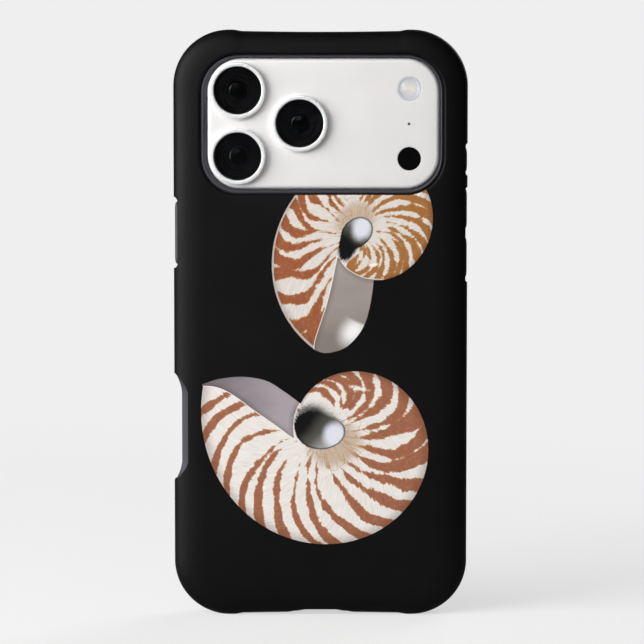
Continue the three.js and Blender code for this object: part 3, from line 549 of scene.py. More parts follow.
def rim_ring(rect, grow, below):
    x, z = on_rim(rect, grow)
    return np.column_stack((x, BACK_Y + back_fall(x, z) + below, z))


print("flat part of the back ends", FALL_WIDTH / MM, "mm from the outline")

# %% [markdown]
# The notches are read back from their table at every place, and turned into one number: how far round the
# section the shell reaches there. Both layers use it, the liner with a small clearance.

# %% Where the shell's edge runs
def notch_state(clearance=0.0):
    """For each place: is it in a notch, how far inside, and the notch's ramp, inset and scoop."""
    reach, ramp, inset, scoop = (np.zeros_like(PX) for _ in range(4))
    for name, low, high, one_ramp, one_inset, one_scoop in NOTCHES:
        here = np.minimum(ALONG - low * MM, high * MM - ALONG) - clearance
        hit = (EDGE_CODE == EDGES.index(name)) & (here > 1e-9)
        reach = np.where(hit, here, reach)
        ramp = np.where(hit, one_ramp * MM, ramp)
        inset = np.where(hit, one_inset * MM, inset)
        scoop = np.where(hit, one_scoop * MM, scoop)
    share = np.clip(reach / np.maximum(ramp, 1e-9), 0, 1)
    at_bottom = EDGE_CODE == EDGES.index("bottom")
    share = np.where(at_bottom, smooth_step(share), np.sin(share * math.pi / 2))
    return reach > 0, reach, share, inset, scoop


def shell_edge(clearance=0.0):
    """The t of the shell's front edge at each place."""
    inside, reach, share, inset, _ = notch_state(clearance)
    steep = 2 + (SHOULDER - 2) * smooth_step(reach / NOTCH_LEAD)
    full = np.minimum(SHOULDER, section_at(inset * share))
    return np.where(inside, np.where(reach < NOTCH_LEAD, steep, full), 2.0)


print("shell edge runs from t =", round(float(shell_edge().min()), 3), "to", float(shell_edge().max()))

# %% [markdown]
# ## The hard shell
#
# The real one is a thin tray of hard black plastic that snaps over the liner and carries the picture. Here
# it is one closed skin: over the rim of the camera opening, along the back, round the curve, down the wall,
# over the front edge and back along the inside. The rings of points are joined into quads by `loft`.

# %% A closed loft
def ring_quads(count, around, closed=False):
    """Quads between neighbouring rings of points, and if closed from the last ring to the first too."""
    faces = []
    for ring in range(count if closed else count - 1):
        low, high = ring * around, (ring + 1) % count * around
        for place in range(around):
            beside = (place + 1) % around
            faces.append((low + place, low + beside, high + beside, high + place))
    return faces


def loft(name, rings, smooth_angle=32):
    """Joins closed rings of points, each an array of the same length, into one skin that closes on itself."""
    faces = ring_quads(len(rings), len(rings[0]), closed=True)
    return link_mesh(name, np.concatenate(rings), faces, smooth_angle)


def curve_numbers(start, edge, count):
    """Numbers t over the curve towards the shell's edge, which may lie on the curve itself."""
    last = np.minimum(edge, 1.0)
    return [start + (last - start) * k for k in np.linspace(0, 1, count)]


def section_start(rim_x, rim_z):
    """Where the curve starts: at the end of the flat, or just outside the rim."""
    return section_at(np.minimum(FALL_WIDTH, -distance_to(CASE_RECT, rim_x, rim_z) * 0.93))


def quarter(count):
    """Pairs (sine, one minus cosine) of a quarter circle, for rounding an edge."""
    return [(math.sin(a), 1 - math.cos(a)) for a in np.linspace(0, math.pi / 2, count)]


def flat_rings(rim_grow, start, offset, count):
    """Rings across the back between the opening's rim and the start of the curve."""
    rim_x, rim_z = on_rim(OPENING, rim_grow)
    end = from_case(*moved_in(start, offset))
    rings = []
    for share in np.linspace(0, 1, count + 2)[1:-1]:
        x, z = rim_x + (end[:, 0] - rim_x) * share, rim_z + (end[:, 2] - rim_z) * share
        rings.append(np.column_stack((x, BACK_Y + back_fall(x, z) + offset, z)))
    return rings


print("a quarter circle in 3 steps:", quarter(3))

# %% [markdown]
# The skin is now a list of rings in the order in which a finger would pass over them: rim, back, curve, wall,
# rounded front edge, and back again 1.4 mm further in.

# %% The hard shell's skin
rim_x, rim_z = on_rim(OPENING, RIM_GAP + RIM_ROUND)
curve_start = section_start(rim_x, rim_z)
edge = shell_edge()
EDGE_ROUND = 0.3 * MM

shell_rings = [rim_ring(OPENING, RIM_GAP, SHELL_THICKNESS)]
shell_rings += [rim_ring(OPENING, RIM_GAP + RIM_ROUND * rise, RIM_ROUND * (1 - sine))
                for sine, rise in quarter(6)]
shell_rings += flat_rings(RIM_GAP + RIM_ROUND, curve_start, 0.0, 6)
shell_rings += [from_case(*section(t)) for t in curve_numbers(curve_start, edge, 18)]
wall_end = edge - EDGE_ROUND / (SHELL_FRONT_DEPTH - FALL_DEPTH)
wall_start = np.minimum(edge, 1.0)
shell_rings += [from_case(*section(wall_start + np.maximum(wall_end - wall_start, 0.004 * k) * k))
                for k in (0.33, 0.66, 1.0)]
for sine, rise in quarter(4)[1:]:
    shell_rings.append(from_case(*moved_in(wall_end + (edge - wall_end) * sine, EDGE_ROUND * rise)))
shell_rings.append(from_case(*moved_in(edge, SHELL_THICKNESS)))
shell_rings += [from_case(*moved_in(t, SHELL_THICKNESS)) for t in curve_numbers(curve_start, edge, 10)[::-1]]
shell_rings += flat_rings(RIM_GAP + RIM_ROUND, curve_start, SHELL_THICKNESS, 2)[::-1]
shell = loft("shell_of_hard_plastic", shell_rings)
print("hard shell:", len(shell.data.vertices), "points")

# %% [markdown]
# The two long slots at the bottom let the speakers sound through both layers. They are cut with a Boolean
# modifier, and the cutters flare slightly where they leave the plastic, so that each slot gets a small
# chamfer: a perfectly sharp edge never catches light and looks false. `stack` makes every cutter, and every
# plate, bar and button later on: it joins open rings of points and closes both ends.

# %% Stacked rings and cuts
def stack(name, rings, smooth_angle=32):
    """Joins rings of points into a body closed by flat ends."""
    count, around = len(rings), len(rings[0])
    faces = [tuple(range(around))[::-1], tuple((count - 1) * around + i for i in range(around))]
    return link_mesh(name, np.concatenate(rings), faces + ring_quads(count, around), smooth_angle)


def outward(piece):
    """Turns every face of a closed piece outwards."""
    mesh = bmesh.new()
    mesh.from_mesh(piece.data)
    bmesh.ops.recalc_face_normals(mesh, faces=mesh.faces)
    mesh.to_mesh(piece.data)
    mesh.free()
    return piece


def rounded_rect(half_width, half_height, radius, steps=10):
    """Points of a rounded rectangle about the origin."""
    radius = min(radius, half_width, half_height)
    points = []
    for corner, (sx, sy) in enumerate(((1, -1), (1, 1), (-1, 1), (-1, -1))):
        for step in range(steps + 1):
            angle = (corner - 1 + step / steps) * math.pi / 2
            point = (sx * (half_width - radius) + radius * math.cos(angle),
                     sy * (half_height - radius) + radius * math.sin(angle))
            if not points or math.dist(point, points[-1]) > 1e-7:
                points.append(point)
    if math.dist(points[0], points[-1]) < 1e-7:
        points.pop()
    return np.array(points)


print("points of a rounded rectangle:", len(rounded_rect(2.0, 1.0, 0.5)))

# %% [markdown]
# Plates, bars and cutters differ only in the way they lie, so one function stacks their outlines and three
# short ones say where the stack stands: parallel to the back, in the side wall or upright in the bottom wall.

# %% Plates, bars and Boolean cuts
BUTTON_Y = BACK_Y + 7.3 * MM
BAR_STEPS = 12
SMOOTH_BELOW = 32


def layered(name, half_size, radius, layers, place, steps):
    """A body of rounded rectangles: layers are pairs (level, grow), and `place` sets one in space."""
    rings = []
    for level, grow in layers:
        outline = rounded_rect(half_size[0] + grow, half_size[1] + grow, radius + grow, steps)
        rings.append(np.column_stack(place(*outline.T, np.full(len(outline), level))))
    return outward(stack(name, rings))


def plate(name, rect, layers, steps=10):
    """A body parallel to the back, whose levels are depths."""
    return layered(name, (rect["half_width"], rect["half_height"]), rect["radius"], layers,
                   lambda across, up, depth: (rect["x"] + across, BACK_Y + depth, rect["z"] + up), steps)


def side_bar(name, side, z, length, thickness, layers):
    """A round-ended bar in the side wall, whose levels are distances from the middle of the phone."""
    return layered(name, (length / 2, thickness / 2), thickness / 2, layers,
                   lambda up, across, distance: (side * distance, BUTTON_Y + across, z + up), BAR_STEPS)


def upright_bar(name, x, depth, width, thickness, layers, radius=None, steps=BAR_STEPS):
    """A round-ended bar standing in the bottom wall, whose levels are heights."""
    return layered(name, (width / 2, thickness / 2), thickness / 2 if radius is None else radius, layers,
                   lambda across, away, height: (x + across, BACK_Y + depth + away, height), steps)


def boolean(piece, cutters, operation="DIFFERENCE"):
    """Cuts or joins pieces with an applied Boolean modifier, and removes the cutters."""
    for cutter in cutters:
        modifier = piece.modifiers.new("cut", "BOOLEAN")
        modifier.operation, modifier.solver, modifier.object = operation, "EXACT", cutter
    bpy.context.view_layer.update()
    result = bpy.data.meshes.new_from_object(piece.evaluated_get(bpy.context.evaluated_depsgraph_get()))
    piece.modifiers.clear()
    piece.data = result
    for cutter in cutters:
        bpy.data.objects.remove(cutter)
    result.polygons.foreach_set("use_smooth", [True] * len(result.polygons))
    result.set_sharp_from_angle(angle=math.radians(SMOOTH_BELOW))


print(f"side bars lie at y = {BUTTON_Y / MM:.2f} mm")

# %% [markdown]
# The speaker slots are the first use of these cutters. One cutter shape serves both layers of the case, so
# that the slots line up.

# %% Speaker slots
PORT_DEPTH = 7.3 * MM
SPEAKER_X, SPEAKER_LENGTH, SPEAKER_THICKNESS = 18.5 * MM, 11.0 * MM, 2.2 * MM
shell_front_z = end_fall(SPEAKER_X)


def speaker_cutter(side, mouth):
    """A slot through the bottom wall that flares at its mouth."""
    flare = 0.35 * MM
    layers = [(-1 * MM, 1.2 * MM), (mouth, flare), (mouth + flare, 0.0), (CASE_WALL + 1.5 * MM, 0.0)]
    return upright_bar("speaker_cutter", side * SPEAKER_X, PORT_DEPTH, SPEAKER_LENGTH,
                       SPEAKER_THICKNESS, layers)


outward(shell)
boolean(shell, [speaker_cutter(side, shell_front_z) for side in (-1, 1)])
place_in_model(shell, "hard_shell")
print("hard shell after its slots:", len(shell.data.polygons), "faces")

# %% [markdown]
# ### The finish of the hard shell
#
# Moulded plastic is never one flat black. The mould leaves a very fine grain, the gloss varies over a few
# centimetres, and handling polishes the edges a little. Two noises stand for the grain and the gloss: a fine
# one in the bump, and a broad cloud in the colour and the roughness. A low specular level keeps it deep black
# away from the light.

# %% Satin black plastic
shell_finish = Finish("satin_black_plastic", Roughness=0.5)
broad = shell_finish.noise(38.0, 3.0)
fine = shell_finish.noise(2600.0, 2.0)
shell_finish.set(
    Base_Color=shell_finish.over((0.0012, 0.0012, 0.0013), (0.0019, 0.0019, 0.002), broad, 0.3, 0.7),
    Roughness=shell_finish.ramp(broad, 0.25, 0.75, 0.46, 0.56),
    Normal=shell_finish.bump(fine, 0.00002, 0.35),
    Specular_IOR_Level=0.14,
)
coat(shell, shell_finish)
print("hard shell wears", shell_finish.material.name)

# %% [markdown]
# ## The liner
#
# Under the shell lies a softer tray that grips the phone. It shows in five places: as a collar around the
# cameras, as the lip around the display, and in the shell's cut-outs at the keys, the camera control and
# the plug. It is the same loft again with a longer section. Where the shell's edge swings back, the liner's
# step follows it at a small distance, which leaves the thin dark joint line that two fitted parts have.

# %% The liner's rings
LINER_FIT = 0.1 * MM
STEP_CLEARANCE = 0.35 * MM
NOTCH_RELIEF = 0.2 * MM
COLLAR_DEPTH, COLLAR_FOOT_DEPTH = 0.45 * MM, 1.25 * MM
LIP_ROUND = 0.6 * MM
GLASS_DEPTH = GLASS_FACE_DEPTH + LINER_FIT
WALL_RUN = SHELL_FRONT_DEPTH - FALL_DEPTH
COLLAR_INSET, COLLAR_GAP, STEP_ROUND = 0.35 * MM, 0.25 * MM, 0.25 * MM

step_edge = shell_edge(STEP_CLEARANCE)
in_notch, _, notch_share, _, notch_scoop = notch_state()
step_at = step_edge + STEP_CLEARANCE / np.where(step_edge < SHOULDER, FALL_WIDTH, WALL_RUN)
under_shell = LINER_OFFSET + np.where(in_notch, NOTCH_RELIEF, 0.0)
exposed = np.where(in_notch, FLANGE_OFFSET + (notch_scoop - FLANGE_OFFSET) * notch_share, FLANGE_OFFSET)
collar_x, collar_z = on_rim(OPENING, -0.3 * MM)
liner_start = section_start(collar_x, collar_z)


def collar_ring(share):
    """A ring on the collar's dished face, from the plateau (0) to the crest (1)."""
    inner_x, inner_z = on_rim(PLATEAU, COLLAR_GAP)
    outer_x, outer_z = on_rim(OPENING, -COLLAR_INSET)
    x, z = inner_x + (outer_x - inner_x) * share, inner_z + (outer_z - inner_z) * share
    below = COLLAR_DEPTH + (COLLAR_FOOT_DEPTH - COLLAR_DEPTH) * (1 - share) ** 2.2
    return np.column_stack((x, BACK_Y + back_fall(x, z) + below, z))


foot = rim_ring(PLATEAU, COLLAR_GAP, 0.0)
foot[:, 1] = BACK_Y + PHONE_BACK_DEPTH - LINER_FIT
liner_rings = [foot] + [collar_ring(share) for share in np.linspace(0, 1, 9)]
liner_rings += [rim_ring(OPENING, -COLLAR_INSET + COLLAR_INSET * sine, COLLAR_DEPTH + COLLAR_INSET * rise)
                for sine, rise in quarter(6)[1:]]
liner_rings.append(rim_ring(OPENING, 0.0, LINER_OFFSET))
liner_rings += [from_case(*moved_in(t, under_shell)) for t in curve_numbers(liner_start, step_edge, 14)]
liner_rings.append(from_case(*moved_in(step_at, under_shell)))
step_round = np.minimum(STEP_ROUND, 0.4 * (under_shell - exposed))
for sine, rise in quarter(4):
    along_step = step_at + STEP_ROUND * rise / WALL_RUN
    liner_rings.append(from_case(*moved_in(along_step, exposed + step_round * (1 - sine))))
first_open = step_at + 0.3 * MM / WALL_RUN
lip_start = wall_at(LIP_DEPTH - LIP_ROUND)
shoulder_t = np.maximum(first_open, 1.0)
liner_rings += [from_case(*moved_in(first_open + (shoulder_t - first_open) * k, exposed))
                for k in np.linspace(0, 1, 9)]
liner_rings += [from_case(*moved_in(shoulder_t + (lip_start - shoulder_t) * k + 0.003, exposed))
                for k in (0.25, 0.5, 0.75)]
liner_rings += [from_case(exposed + LIP_ROUND * rise, LIP_DEPTH - LIP_ROUND * (1 - sine))
                for sine, rise in quarter(8)]
liner_rings += [from_phone(-LIP_OVERHANG + LIP_ROUND * (1 - sine), LIP_DEPTH - LIP_ROUND * rise)
                for sine, rise in quarter(7)]
liner_rings += [from_phone(-LIP_OVERHANG, GLASS_DEPTH), from_phone(LINER_FIT, GLASS_DEPTH)]
grip = PHONE_EDGE + LINER_FIT
liner_rings += [from_phone(grip * (1 - rise) - PHONE_EDGE, PHONE_BACK_DEPTH + PHONE_EDGE - grip * sine)
                for sine, rise in quarter(8)]
liner = outward(loft("liner_of_soft_plastic", liner_rings))
print("liner:", len(liner.data.vertices), "points")

# %% [markdown]
# The liner needs windows: one for each key cover, a long one for the camera control, a round-cornered one
# for the plug, and the speaker slots again. Every cutter flares by about a third of a millimetre at its
# outer end, which gives the soft plastic the rounded mouths that it has from the mould.

# %% Windows in the liner
COVER_THICKNESS, COVER_GAP = 4.6 * MM, 0.3 * MM
WINDOW_INNER = PHONE_HALF - 1.2 * MM
COVER_SEAT = HALF_WIDTH - 1.6 * MM
BUTTONS = {}
# name, side, then in mm: lowest, highest, how far the cover's face lies inside the shell's widest line
for name, side, low, high, sunk in (("action", 1, 130.9, 138.4, 0.0), ("volume_up", 1, 114.2, 126.3, 0.0),
                                    ("volume_down", 1, 99.8, 111.9, 0.0), ("side", -1, 103.8, 122.4, 0.2)):
    BUTTONS[name] = dict(side=side, middle=(low * MM + high * MM) / 2, length=high * MM - low * MM,
                         face=HALF_WIDTH - sunk * MM)


def flared(inner, surface, mouth=0.35 * MM):
    """Layers of a cutter that opens at a surface: straight, a short flare, and a straight way out."""
    return [(inner, 0.0), (surface - mouth, 0.0), (surface - mouth * 0.4, mouth * 0.25), (surface, mouth),
            (surface + 0.5 * MM, mouth * 2.4), (HALF_WIDTH + 1.5 * MM, mouth * 2.4)]


windows = []
for b in BUTTONS.values():
    windows.append(side_bar("window", b["side"], b["middle"], b["length"] + 2 * COVER_GAP,
                            COVER_THICKNESS + 2 * COVER_GAP, flared(WINDOW_INNER, COVER_SEAT, 0.2 * MM)))
CONTROL_Z, CONTROL_LENGTH, CONTROL_THICKNESS = 55.95 * MM, 19.0 * MM, 2.6 * MM
CONTROL_WINDOW_LENGTH, CONTROL_WINDOW_THICKNESS, CONTROL_SCOOP = 21.6 * MM, 5.2 * MM, 2.25 * MM
windows.append(side_bar("window", -1, CONTROL_Z, CONTROL_WINDOW_LENGTH, CONTROL_WINDOW_THICKNESS,
                        flared(WINDOW_INNER, HALF_WIDTH - CONTROL_SCOOP)))
port_mouth = end_fall(0.0) + FLANGE_OFFSET
port_layers = [(-1 * MM, 1.0 * MM), (port_mouth, 0.4 * MM), (port_mouth + 0.15 * MM, 0.12 * MM),
               (port_mouth + 0.45 * MM, 0.0), (PHONE_BOTTOM + 0.1 * MM, 0.0)]
PLUG_DEPTH, PLUG_WIDTH, PLUG_THICKNESS, PLUG_CORNER = 6.65 * MM, 15.6 * MM, 8.5 * MM, 3.4 * MM
windows.append(upright_bar("window", 0.0, PLUG_DEPTH, PLUG_WIDTH, PLUG_THICKNESS, port_layers, PLUG_CORNER))
windows += [speaker_cutter(side, shell_front_z + LINER_OFFSET) for side in (-1, 1)]
boolean(liner, windows)
place_in_model(liner, "inner_liner")
print("liner after its windows:", len(liner.data.polygons), "faces")

# %% [markdown]
# ### The finish of the soft plastic
#
# Soft plastic scatters light more than hard plastic does, so its highlights are wide and weak. A mould
# texture of tiny pits breaks them up further. The liner's grey is slightly violet. The key covers are made
# of the same stuff, so one function makes both finishes, and only the tone differs.

# %% Dark grey soft plastic
def soft_plastic(name, dark, light):
    finish = Finish(name, Roughness=0.6)
    cloud = finish.noise(55.0, 4.0)
    pits = finish.add("TexVoronoi", {"Vector": finish.place(), "Scale": 3200.0}).outputs["Distance"]
    finish.set(
        Base_Color=finish.over(dark, light, cloud, 0.3, 0.7),
        Roughness=finish.ramp(cloud, 0.2, 0.8, 0.55, 0.68),
        Normal=finish.bump(pits, 0.00003, 0.4),
        Specular_IOR_Level=0.4,
    )
    return finish


coat(liner, soft_plastic("soft_grey_plastic", (0.034, 0.032, 0.042), (0.042, 0.04, 0.052)))
print("liner wears", liner.data.materials[0].name)

# %% [markdown]
# ## The key covers
#
# Each key has a cover of soft plastic that passes the press on to the phone's own button. A cover is a bar
# with round ends. Its rim is rounded by a quarter circle, and its face is crowned a little, so that a
# finger finds it. The cover rides on its key's body, not on the case, because it moves when it is pressed.

# %% Key covers
COVER_ROUND = 0.9 * MM
cover_finish = soft_plastic("soft_cover_plastic", (0.047, 0.046, 0.049), (0.056, 0.055, 0.058))
COVER_INNER, CROWN = PHONE_HALF + 0.4 * MM, 0.12 * MM
for name, b in BUTTONS.items():
    face = b["face"]
    layers = [(COVER_INNER, -0.15 * MM), (COVER_INNER + 0.15 * MM, 0.0)]
    layers += [(face - CROWN - COVER_ROUND * (1 - sine), -COVER_ROUND * rise) for sine, rise in quarter(9)]
    layers += [(face - CROWN * 0.35, -1.45 * MM), (face, -2.1 * MM)]
    cover = side_bar(name + "_key_cover", b["side"], b["middle"], b["length"], COVER_THICKNESS, layers)
    place_in_model(cover, name + "_cover", cover_finish, name + "_key")
print("key covers:", list(BUTTONS))

# %% [markdown]
# ## The phone's body
#
# The phone is one block of aluminium with rounded edges, and the plateau that carries the cameras is milled
# from the same block. Three things make it read as metal and not as white plastic: a wide soft rounding on
# the plateau's edge, which turns from light to violet grey, crisp wells for the lenses, and a very fine
# bead-blasted surface. The body is a stack of rounded rectangles. The plateau is another, joined to it, and
# the wells are cut out.

# %% The body and its plateau
PHONE_RECT = dict(x=0.0, z=(PHONE_TOP + PHONE_BOTTOM) / 2, half_width=PHONE_HALF,
                  half_height=PHONE_HEIGHT / 2, radius=PHONE_CORNER)
FIT = 0.12 * MM
FINE_STEPS = 26


def inset_rect(inset):
    return dict(PHONE_RECT, half_width=PHONE_HALF - inset, half_height=PHONE_HEIGHT / 2 - inset,
                radius=PHONE_CORNER - inset)


def rounded_layers(near, far, round_near, round_far=0.0, count=8):
    """Layers of a plate whose two rims are rounded by quarter circles."""
    layers = [(near + round_near * rise, -round_near * (1 - sine)) for sine, rise in quarter(count)]
    if round_far == 0.0:
        return layers + [(far, 0.0)]
    return layers + [(far - round_far * (1 - sine), -round_far * rise) for sine, rise in quarter(count)]


def lathe(name, x, z, profile, steps=96, smooth_angle=32):
    """Turns a closed profile of (radius, depth) points about a line along Y. A radius of 0 is on the line."""
    rings, angles = [], np.linspace(0, 2 * math.pi, steps, endpoint=False)
    on_axis = profile[0][0] == 0.0
    turned = profile[1:-1] if on_axis else profile
    for radius, depth in turned:
        rings.append(np.column_stack((x + radius * np.cos(angles), np.full(steps, BACK_Y + depth),
                                      z + radius * np.sin(angles))))
    if not on_axis:
        return outward(loft(name, rings, smooth_angle))
    first, last = len(turned) * steps, len(turned) * steps + 1
    points = np.concatenate([*rings, [(x, BACK_Y + profile[0][1], z)], [(x, BACK_Y + profile[-1][1], z)]])
    faces = ring_quads(len(turned), steps)
    top = (len(turned) - 1) * steps
    faces += [(first, (i + 1) % steps, i) for i in range(steps)]
    faces += [(last, top + i, top + (i + 1) % steps) for i in range(steps)]
    return outward(link_mesh(name, points, faces, smooth_angle))


phone = plate("phone_body_block", PHONE_RECT,
              rounded_layers(PHONE_BACK_DEPTH, FRAME_FRONT_DEPTH, PHONE_EDGE, 0.8 * MM), FINE_STEPS)
PLATEAU_ROUND, PLATEAU_ROOT = 1.1 * MM, PHONE_BACK_DEPTH + 1.5 * MM
plateau = plate("plateau", PLATEAU, rounded_layers(PLATEAU_FACE, PLATEAU_ROOT, PLATEAU_ROUND, count=12),
                FINE_STEPS)
boolean(phone, [plateau], "UNION")
print("phone block:", len(phone.data.polygons), "faces")

# %% [markdown]
# The block is then machined like the real one: round wells for the lenses, the flash, the sensor and the
# microphone, shallow pockets for the two glasses and the display panel, slots for the keys and the camera
# control, and small holes in the bottom. A cut that holds a piece is slightly wider than the piece, so that
# two faces never share a place and flicker.

# %% Wells, pockets and holes in the body
def centre_of(node):
    """The x and z of a round piece's axis, and its radius."""
    low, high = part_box(node)
    return (low.x + high.x) / 2, (low.z + high.z) / 2, (high.x - low.x) / 2


lens_places = {name: centre_of("lens_ring_" + name)[:2] for name in ("upper", "lower", "middle")}
RING_RADIUS = centre_of("lens_ring_middle")[2]
RING_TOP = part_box("lens_ring_middle")[0].y - BACK_Y
FLASH_X, FLASH_Z, FLASH_RADIUS = centre_of("flash_lens")
WINDOW_X, WINDOW_Z, WINDOW_RADIUS = centre_of("depth_window")
MIC_X, MIC_Z, MIC_RADIUS = centre_of("rear_mic_mesh")
CHAMFER = 0.08 * MM
WELL_RADIUS, WELL_DEPTH = 7.6 * MM, 4.4 * MM
FLASH_WELL, WINDOW_WELL, MIC_WELL, WELL_FIT = 2.2 * MM, 1.6 * MM, 1.4 * MM, 0.05 * MM


def round_cutter(x, z, radius, floor_depth):
    """A well from in front of the plateau, with a small chamfer at its mouth."""
    wide = radius + CHAMFER
    return lathe("well", x, z, [(0.0, -2 * MM), (wide, -2 * MM), (wide, PLATEAU_FACE),
                                (radius, PLATEAU_FACE + CHAMFER), (radius, floor_depth), (0.0, floor_depth)])


wells = [round_cutter(x, z, WELL_RADIUS, WELL_DEPTH) for x, z in lens_places.values()]
wells += [round_cutter(FLASH_X, FLASH_Z, FLASH_RADIUS + WELL_FIT, FLASH_WELL),
          round_cutter(WINDOW_X, WINDOW_Z, WINDOW_RADIUS + WELL_FIT, WINDOW_WELL),
          round_cutter(MIC_X, MIC_Z, MIC_RADIUS + WELL_FIT, MIC_WELL)]
INLAY = dict(x=0.0, z=63.6 * MM, half_width=33.0 * MM, half_height=55.5 * MM, radius=6.0 * MM)
INLAY_BACK = PHONE_BACK_DEPTH + 0.8 * MM
wells.append(plate("pocket", INLAY, [(1.9 * MM, FIT), (INLAY_BACK + FIT, FIT)], FINE_STEPS))
GLASS_BACK_DEPTH = GLASS_FACE_DEPTH - 0.9 * MM
PANEL_BACK_DEPTH = GLASS_BACK_DEPTH - 1.3 * MM
GLASS_INSET, PANEL_INSET = 1.3 * MM, 2.6 * MM
for inset, back in ((GLASS_INSET, GLASS_BACK_DEPTH), (PANEL_INSET, PANEL_BACK_DEPTH)):
    wells.append(plate("pocket", inset_rect(inset - FIT), [(back - FIT, 0.0), (LIP_DEPTH, 0.0)], FINE_STEPS))
BUTTON_THICKNESS, BUTTON_SHORTER = 2.6 * MM, 1.2 * MM
pocket_layers = [(PHONE_HALF - 2.0 * MM, FIT), (PHONE_HALF - 0.1 * MM, FIT),
                 (PHONE_HALF + 0.3 * MM, FIT + 0.3 * MM)]
for b in BUTTONS.values():
    wells.append(side_bar("pocket", b["side"], b["middle"], b["length"] - BUTTON_SHORTER,
                          BUTTON_THICKNESS, pocket_layers))
wells.append(side_bar("pocket", -1, CONTROL_Z, CONTROL_LENGTH, CONTROL_THICKNESS, pocket_layers))
SOCKET_WIDTH, SOCKET_THICKNESS, SOCKET_LENGTH = 9.2 * MM, 3.4 * MM, 7.0 * MM
socket_layers = [(PHONE_BOTTOM - 0.5 * MM, FIT + 0.6 * MM), (PHONE_BOTTOM + 0.15 * MM, FIT),
                 (PHONE_BOTTOM + SOCKET_LENGTH + FIT, FIT)]
wells.append(upright_bar("pocket", 0.0, PORT_DEPTH, SOCKET_WIDTH, SOCKET_THICKNESS, socket_layers))
SCREW_X, SCREW_RADIUS = 6.5 * MM, 0.75 * MM
bottom_holes = [(side * SCREW_X, SCREW_RADIUS + FIT, 1.7 * MM) for side in (-1, 1)]
HOLE_PITCH, HOLE_RADIUS, HOLE_DEPTH, HOLE_COUNT = 1.9 * MM, 0.6 * MM, 2.0 * MM, 5
bottom_holes += [(side * SPEAKER_X + (k - 2) * HOLE_PITCH, HOLE_RADIUS, HOLE_DEPTH)
                 for side in (-1, 1) for k in range(HOLE_COUNT)]
for x, radius, deep in bottom_holes:
    hole_layers = [(PHONE_BOTTOM - 0.2 * MM, 0.25 * MM), (PHONE_BOTTOM + CHAMFER, 0.0),
                   (PHONE_BOTTOM + deep, 0.0)]
    wells.append(upright_bar("pocket", x, PORT_DEPTH, 2 * radius, 2 * radius, hole_layers))
boolean(phone, wells)
place_in_model(phone, "phone_body")
print("phone block with its wells:", len(phone.data.polygons), "faces")

# %% [markdown]
# ### Bead-blasted aluminium
#
# Blasting with glass beads covers the metal with shallow dents a few hundredths of a millimetre wide, and
# anodising then clouds it. The result is half way between metal and paint: it keeps a metal's bright, wide
# highlight and has almost no mirror image. So the metallic value is partial and the roughness high, with
# dents in the bump.

# %% Bead-blasted aluminium
def blasted_metal(name, dark, light, metallic, low_gloss, high_gloss):
    finish = Finish(name, Metallic=metallic)
    cloud = finish.noise(30.0, 3.0)
    dents = finish.noise(5200.0, 2.0)
    finish.set(
        Base_Color=finish.over(dark, light, cloud, 0.3, 0.7),
        Roughness=finish.ramp(finish.noise(140.0, 3.0), 0.3, 0.7, low_gloss, high_gloss),
        Normal=finish.bump(dents, 0.000012, 0.35),
    )
    return finish


body_finish = blasted_metal("blasted_aluminium", (0.86, 0.85, 0.84), (0.9, 0.89, 0.88), 0.3, 0.42, 0.5)
coat(phone, body_finish)
print("body wears", body_finish.material.name)

# %% [markdown]
# ## The rear cameras
#
# Each camera is four pieces in a well, all on one axis: a polished ring, a cover glass, a stepped black
# barrel and a small domed lens at its bottom. A black disc would be simpler, but a lens looks deep because
# its highlights lie at different depths, so every surface is made: the ring's bevels, the barrel's steps
# and the dome.

# %% Rings, barrels, domes and cover glasses
GLASS_RADIUS = 6.9 * MM
RING_BORE, RING_SLEEVE = GLASS_RADIUS + 0.1 * MM, 7.5 * MM
SLEEVE_END, WELL_FLOOR = 3.0 * MM, 4.25 * MM
RING_FOOT = PLATEAU_FACE - 0.02 * MM

ring_profile = [(RING_BORE, SLEEVE_END), (RING_SLEEVE, SLEEVE_END), (RING_SLEEVE, RING_FOOT),
                (RING_RADIUS - 0.12 * MM, RING_FOOT), (RING_RADIUS, RING_FOOT - 0.12 * MM)]
RING_ROUND, BORE_ROUND = 0.5 * MM, 0.3 * MM
ring_profile += [(RING_RADIUS - RING_ROUND * rise, RING_TOP + RING_ROUND * (1 - sine))
                 for sine, rise in quarter(9)]
ring_profile += [(RING_BORE + BORE_ROUND * (1 - sine), RING_TOP + BORE_ROUND * rise)
                 for sine, rise in quarter(6)]

# radius and depth below the ring's top of each step of the barrel, in mm
BARREL_STEPS = [(6.8, 1.45), (6.0, 1.5), (5.9, 1.75), (5.1, 1.8), (5.0, 2.1), (4.2, 2.15), (4.1, 2.4),
                (3.1, 2.5), (3.0, 2.7)]
barrel_profile = [(3.0 * MM, WELL_FLOOR), (6.8 * MM, WELL_FLOOR)]
barrel_profile += [(radius * MM, RING_TOP + deep * MM) for radius, deep in BARREL_STEPS]

ELEMENT_RADIUS, DOME_TOP = 2.85 * MM, RING_TOP + 2.2 * MM
dome = [(ELEMENT_RADIUS * math.cos(a), DOME_TOP + 0.8 * MM * (1 - math.sin(a)))
        for a in np.linspace(0, math.pi / 2, 12)[:-1]]
element_profile = [(0.0, WELL_FLOOR), (ELEMENT_RADIUS, WELL_FLOOR), *dome, (0.0, DOME_TOP)]

GLASS_NEAR, GLASS_FAR, GLASS_BEVEL = RING_TOP + 0.3 * MM, RING_TOP + 1.3 * MM, 0.12 * MM
glass_profile = [(0.0, GLASS_FAR), (GLASS_RADIUS, GLASS_FAR), (GLASS_RADIUS, GLASS_NEAR + GLASS_BEVEL),
                 (GLASS_RADIUS - GLASS_BEVEL, GLASS_NEAR), (0.0, GLASS_NEAR)]

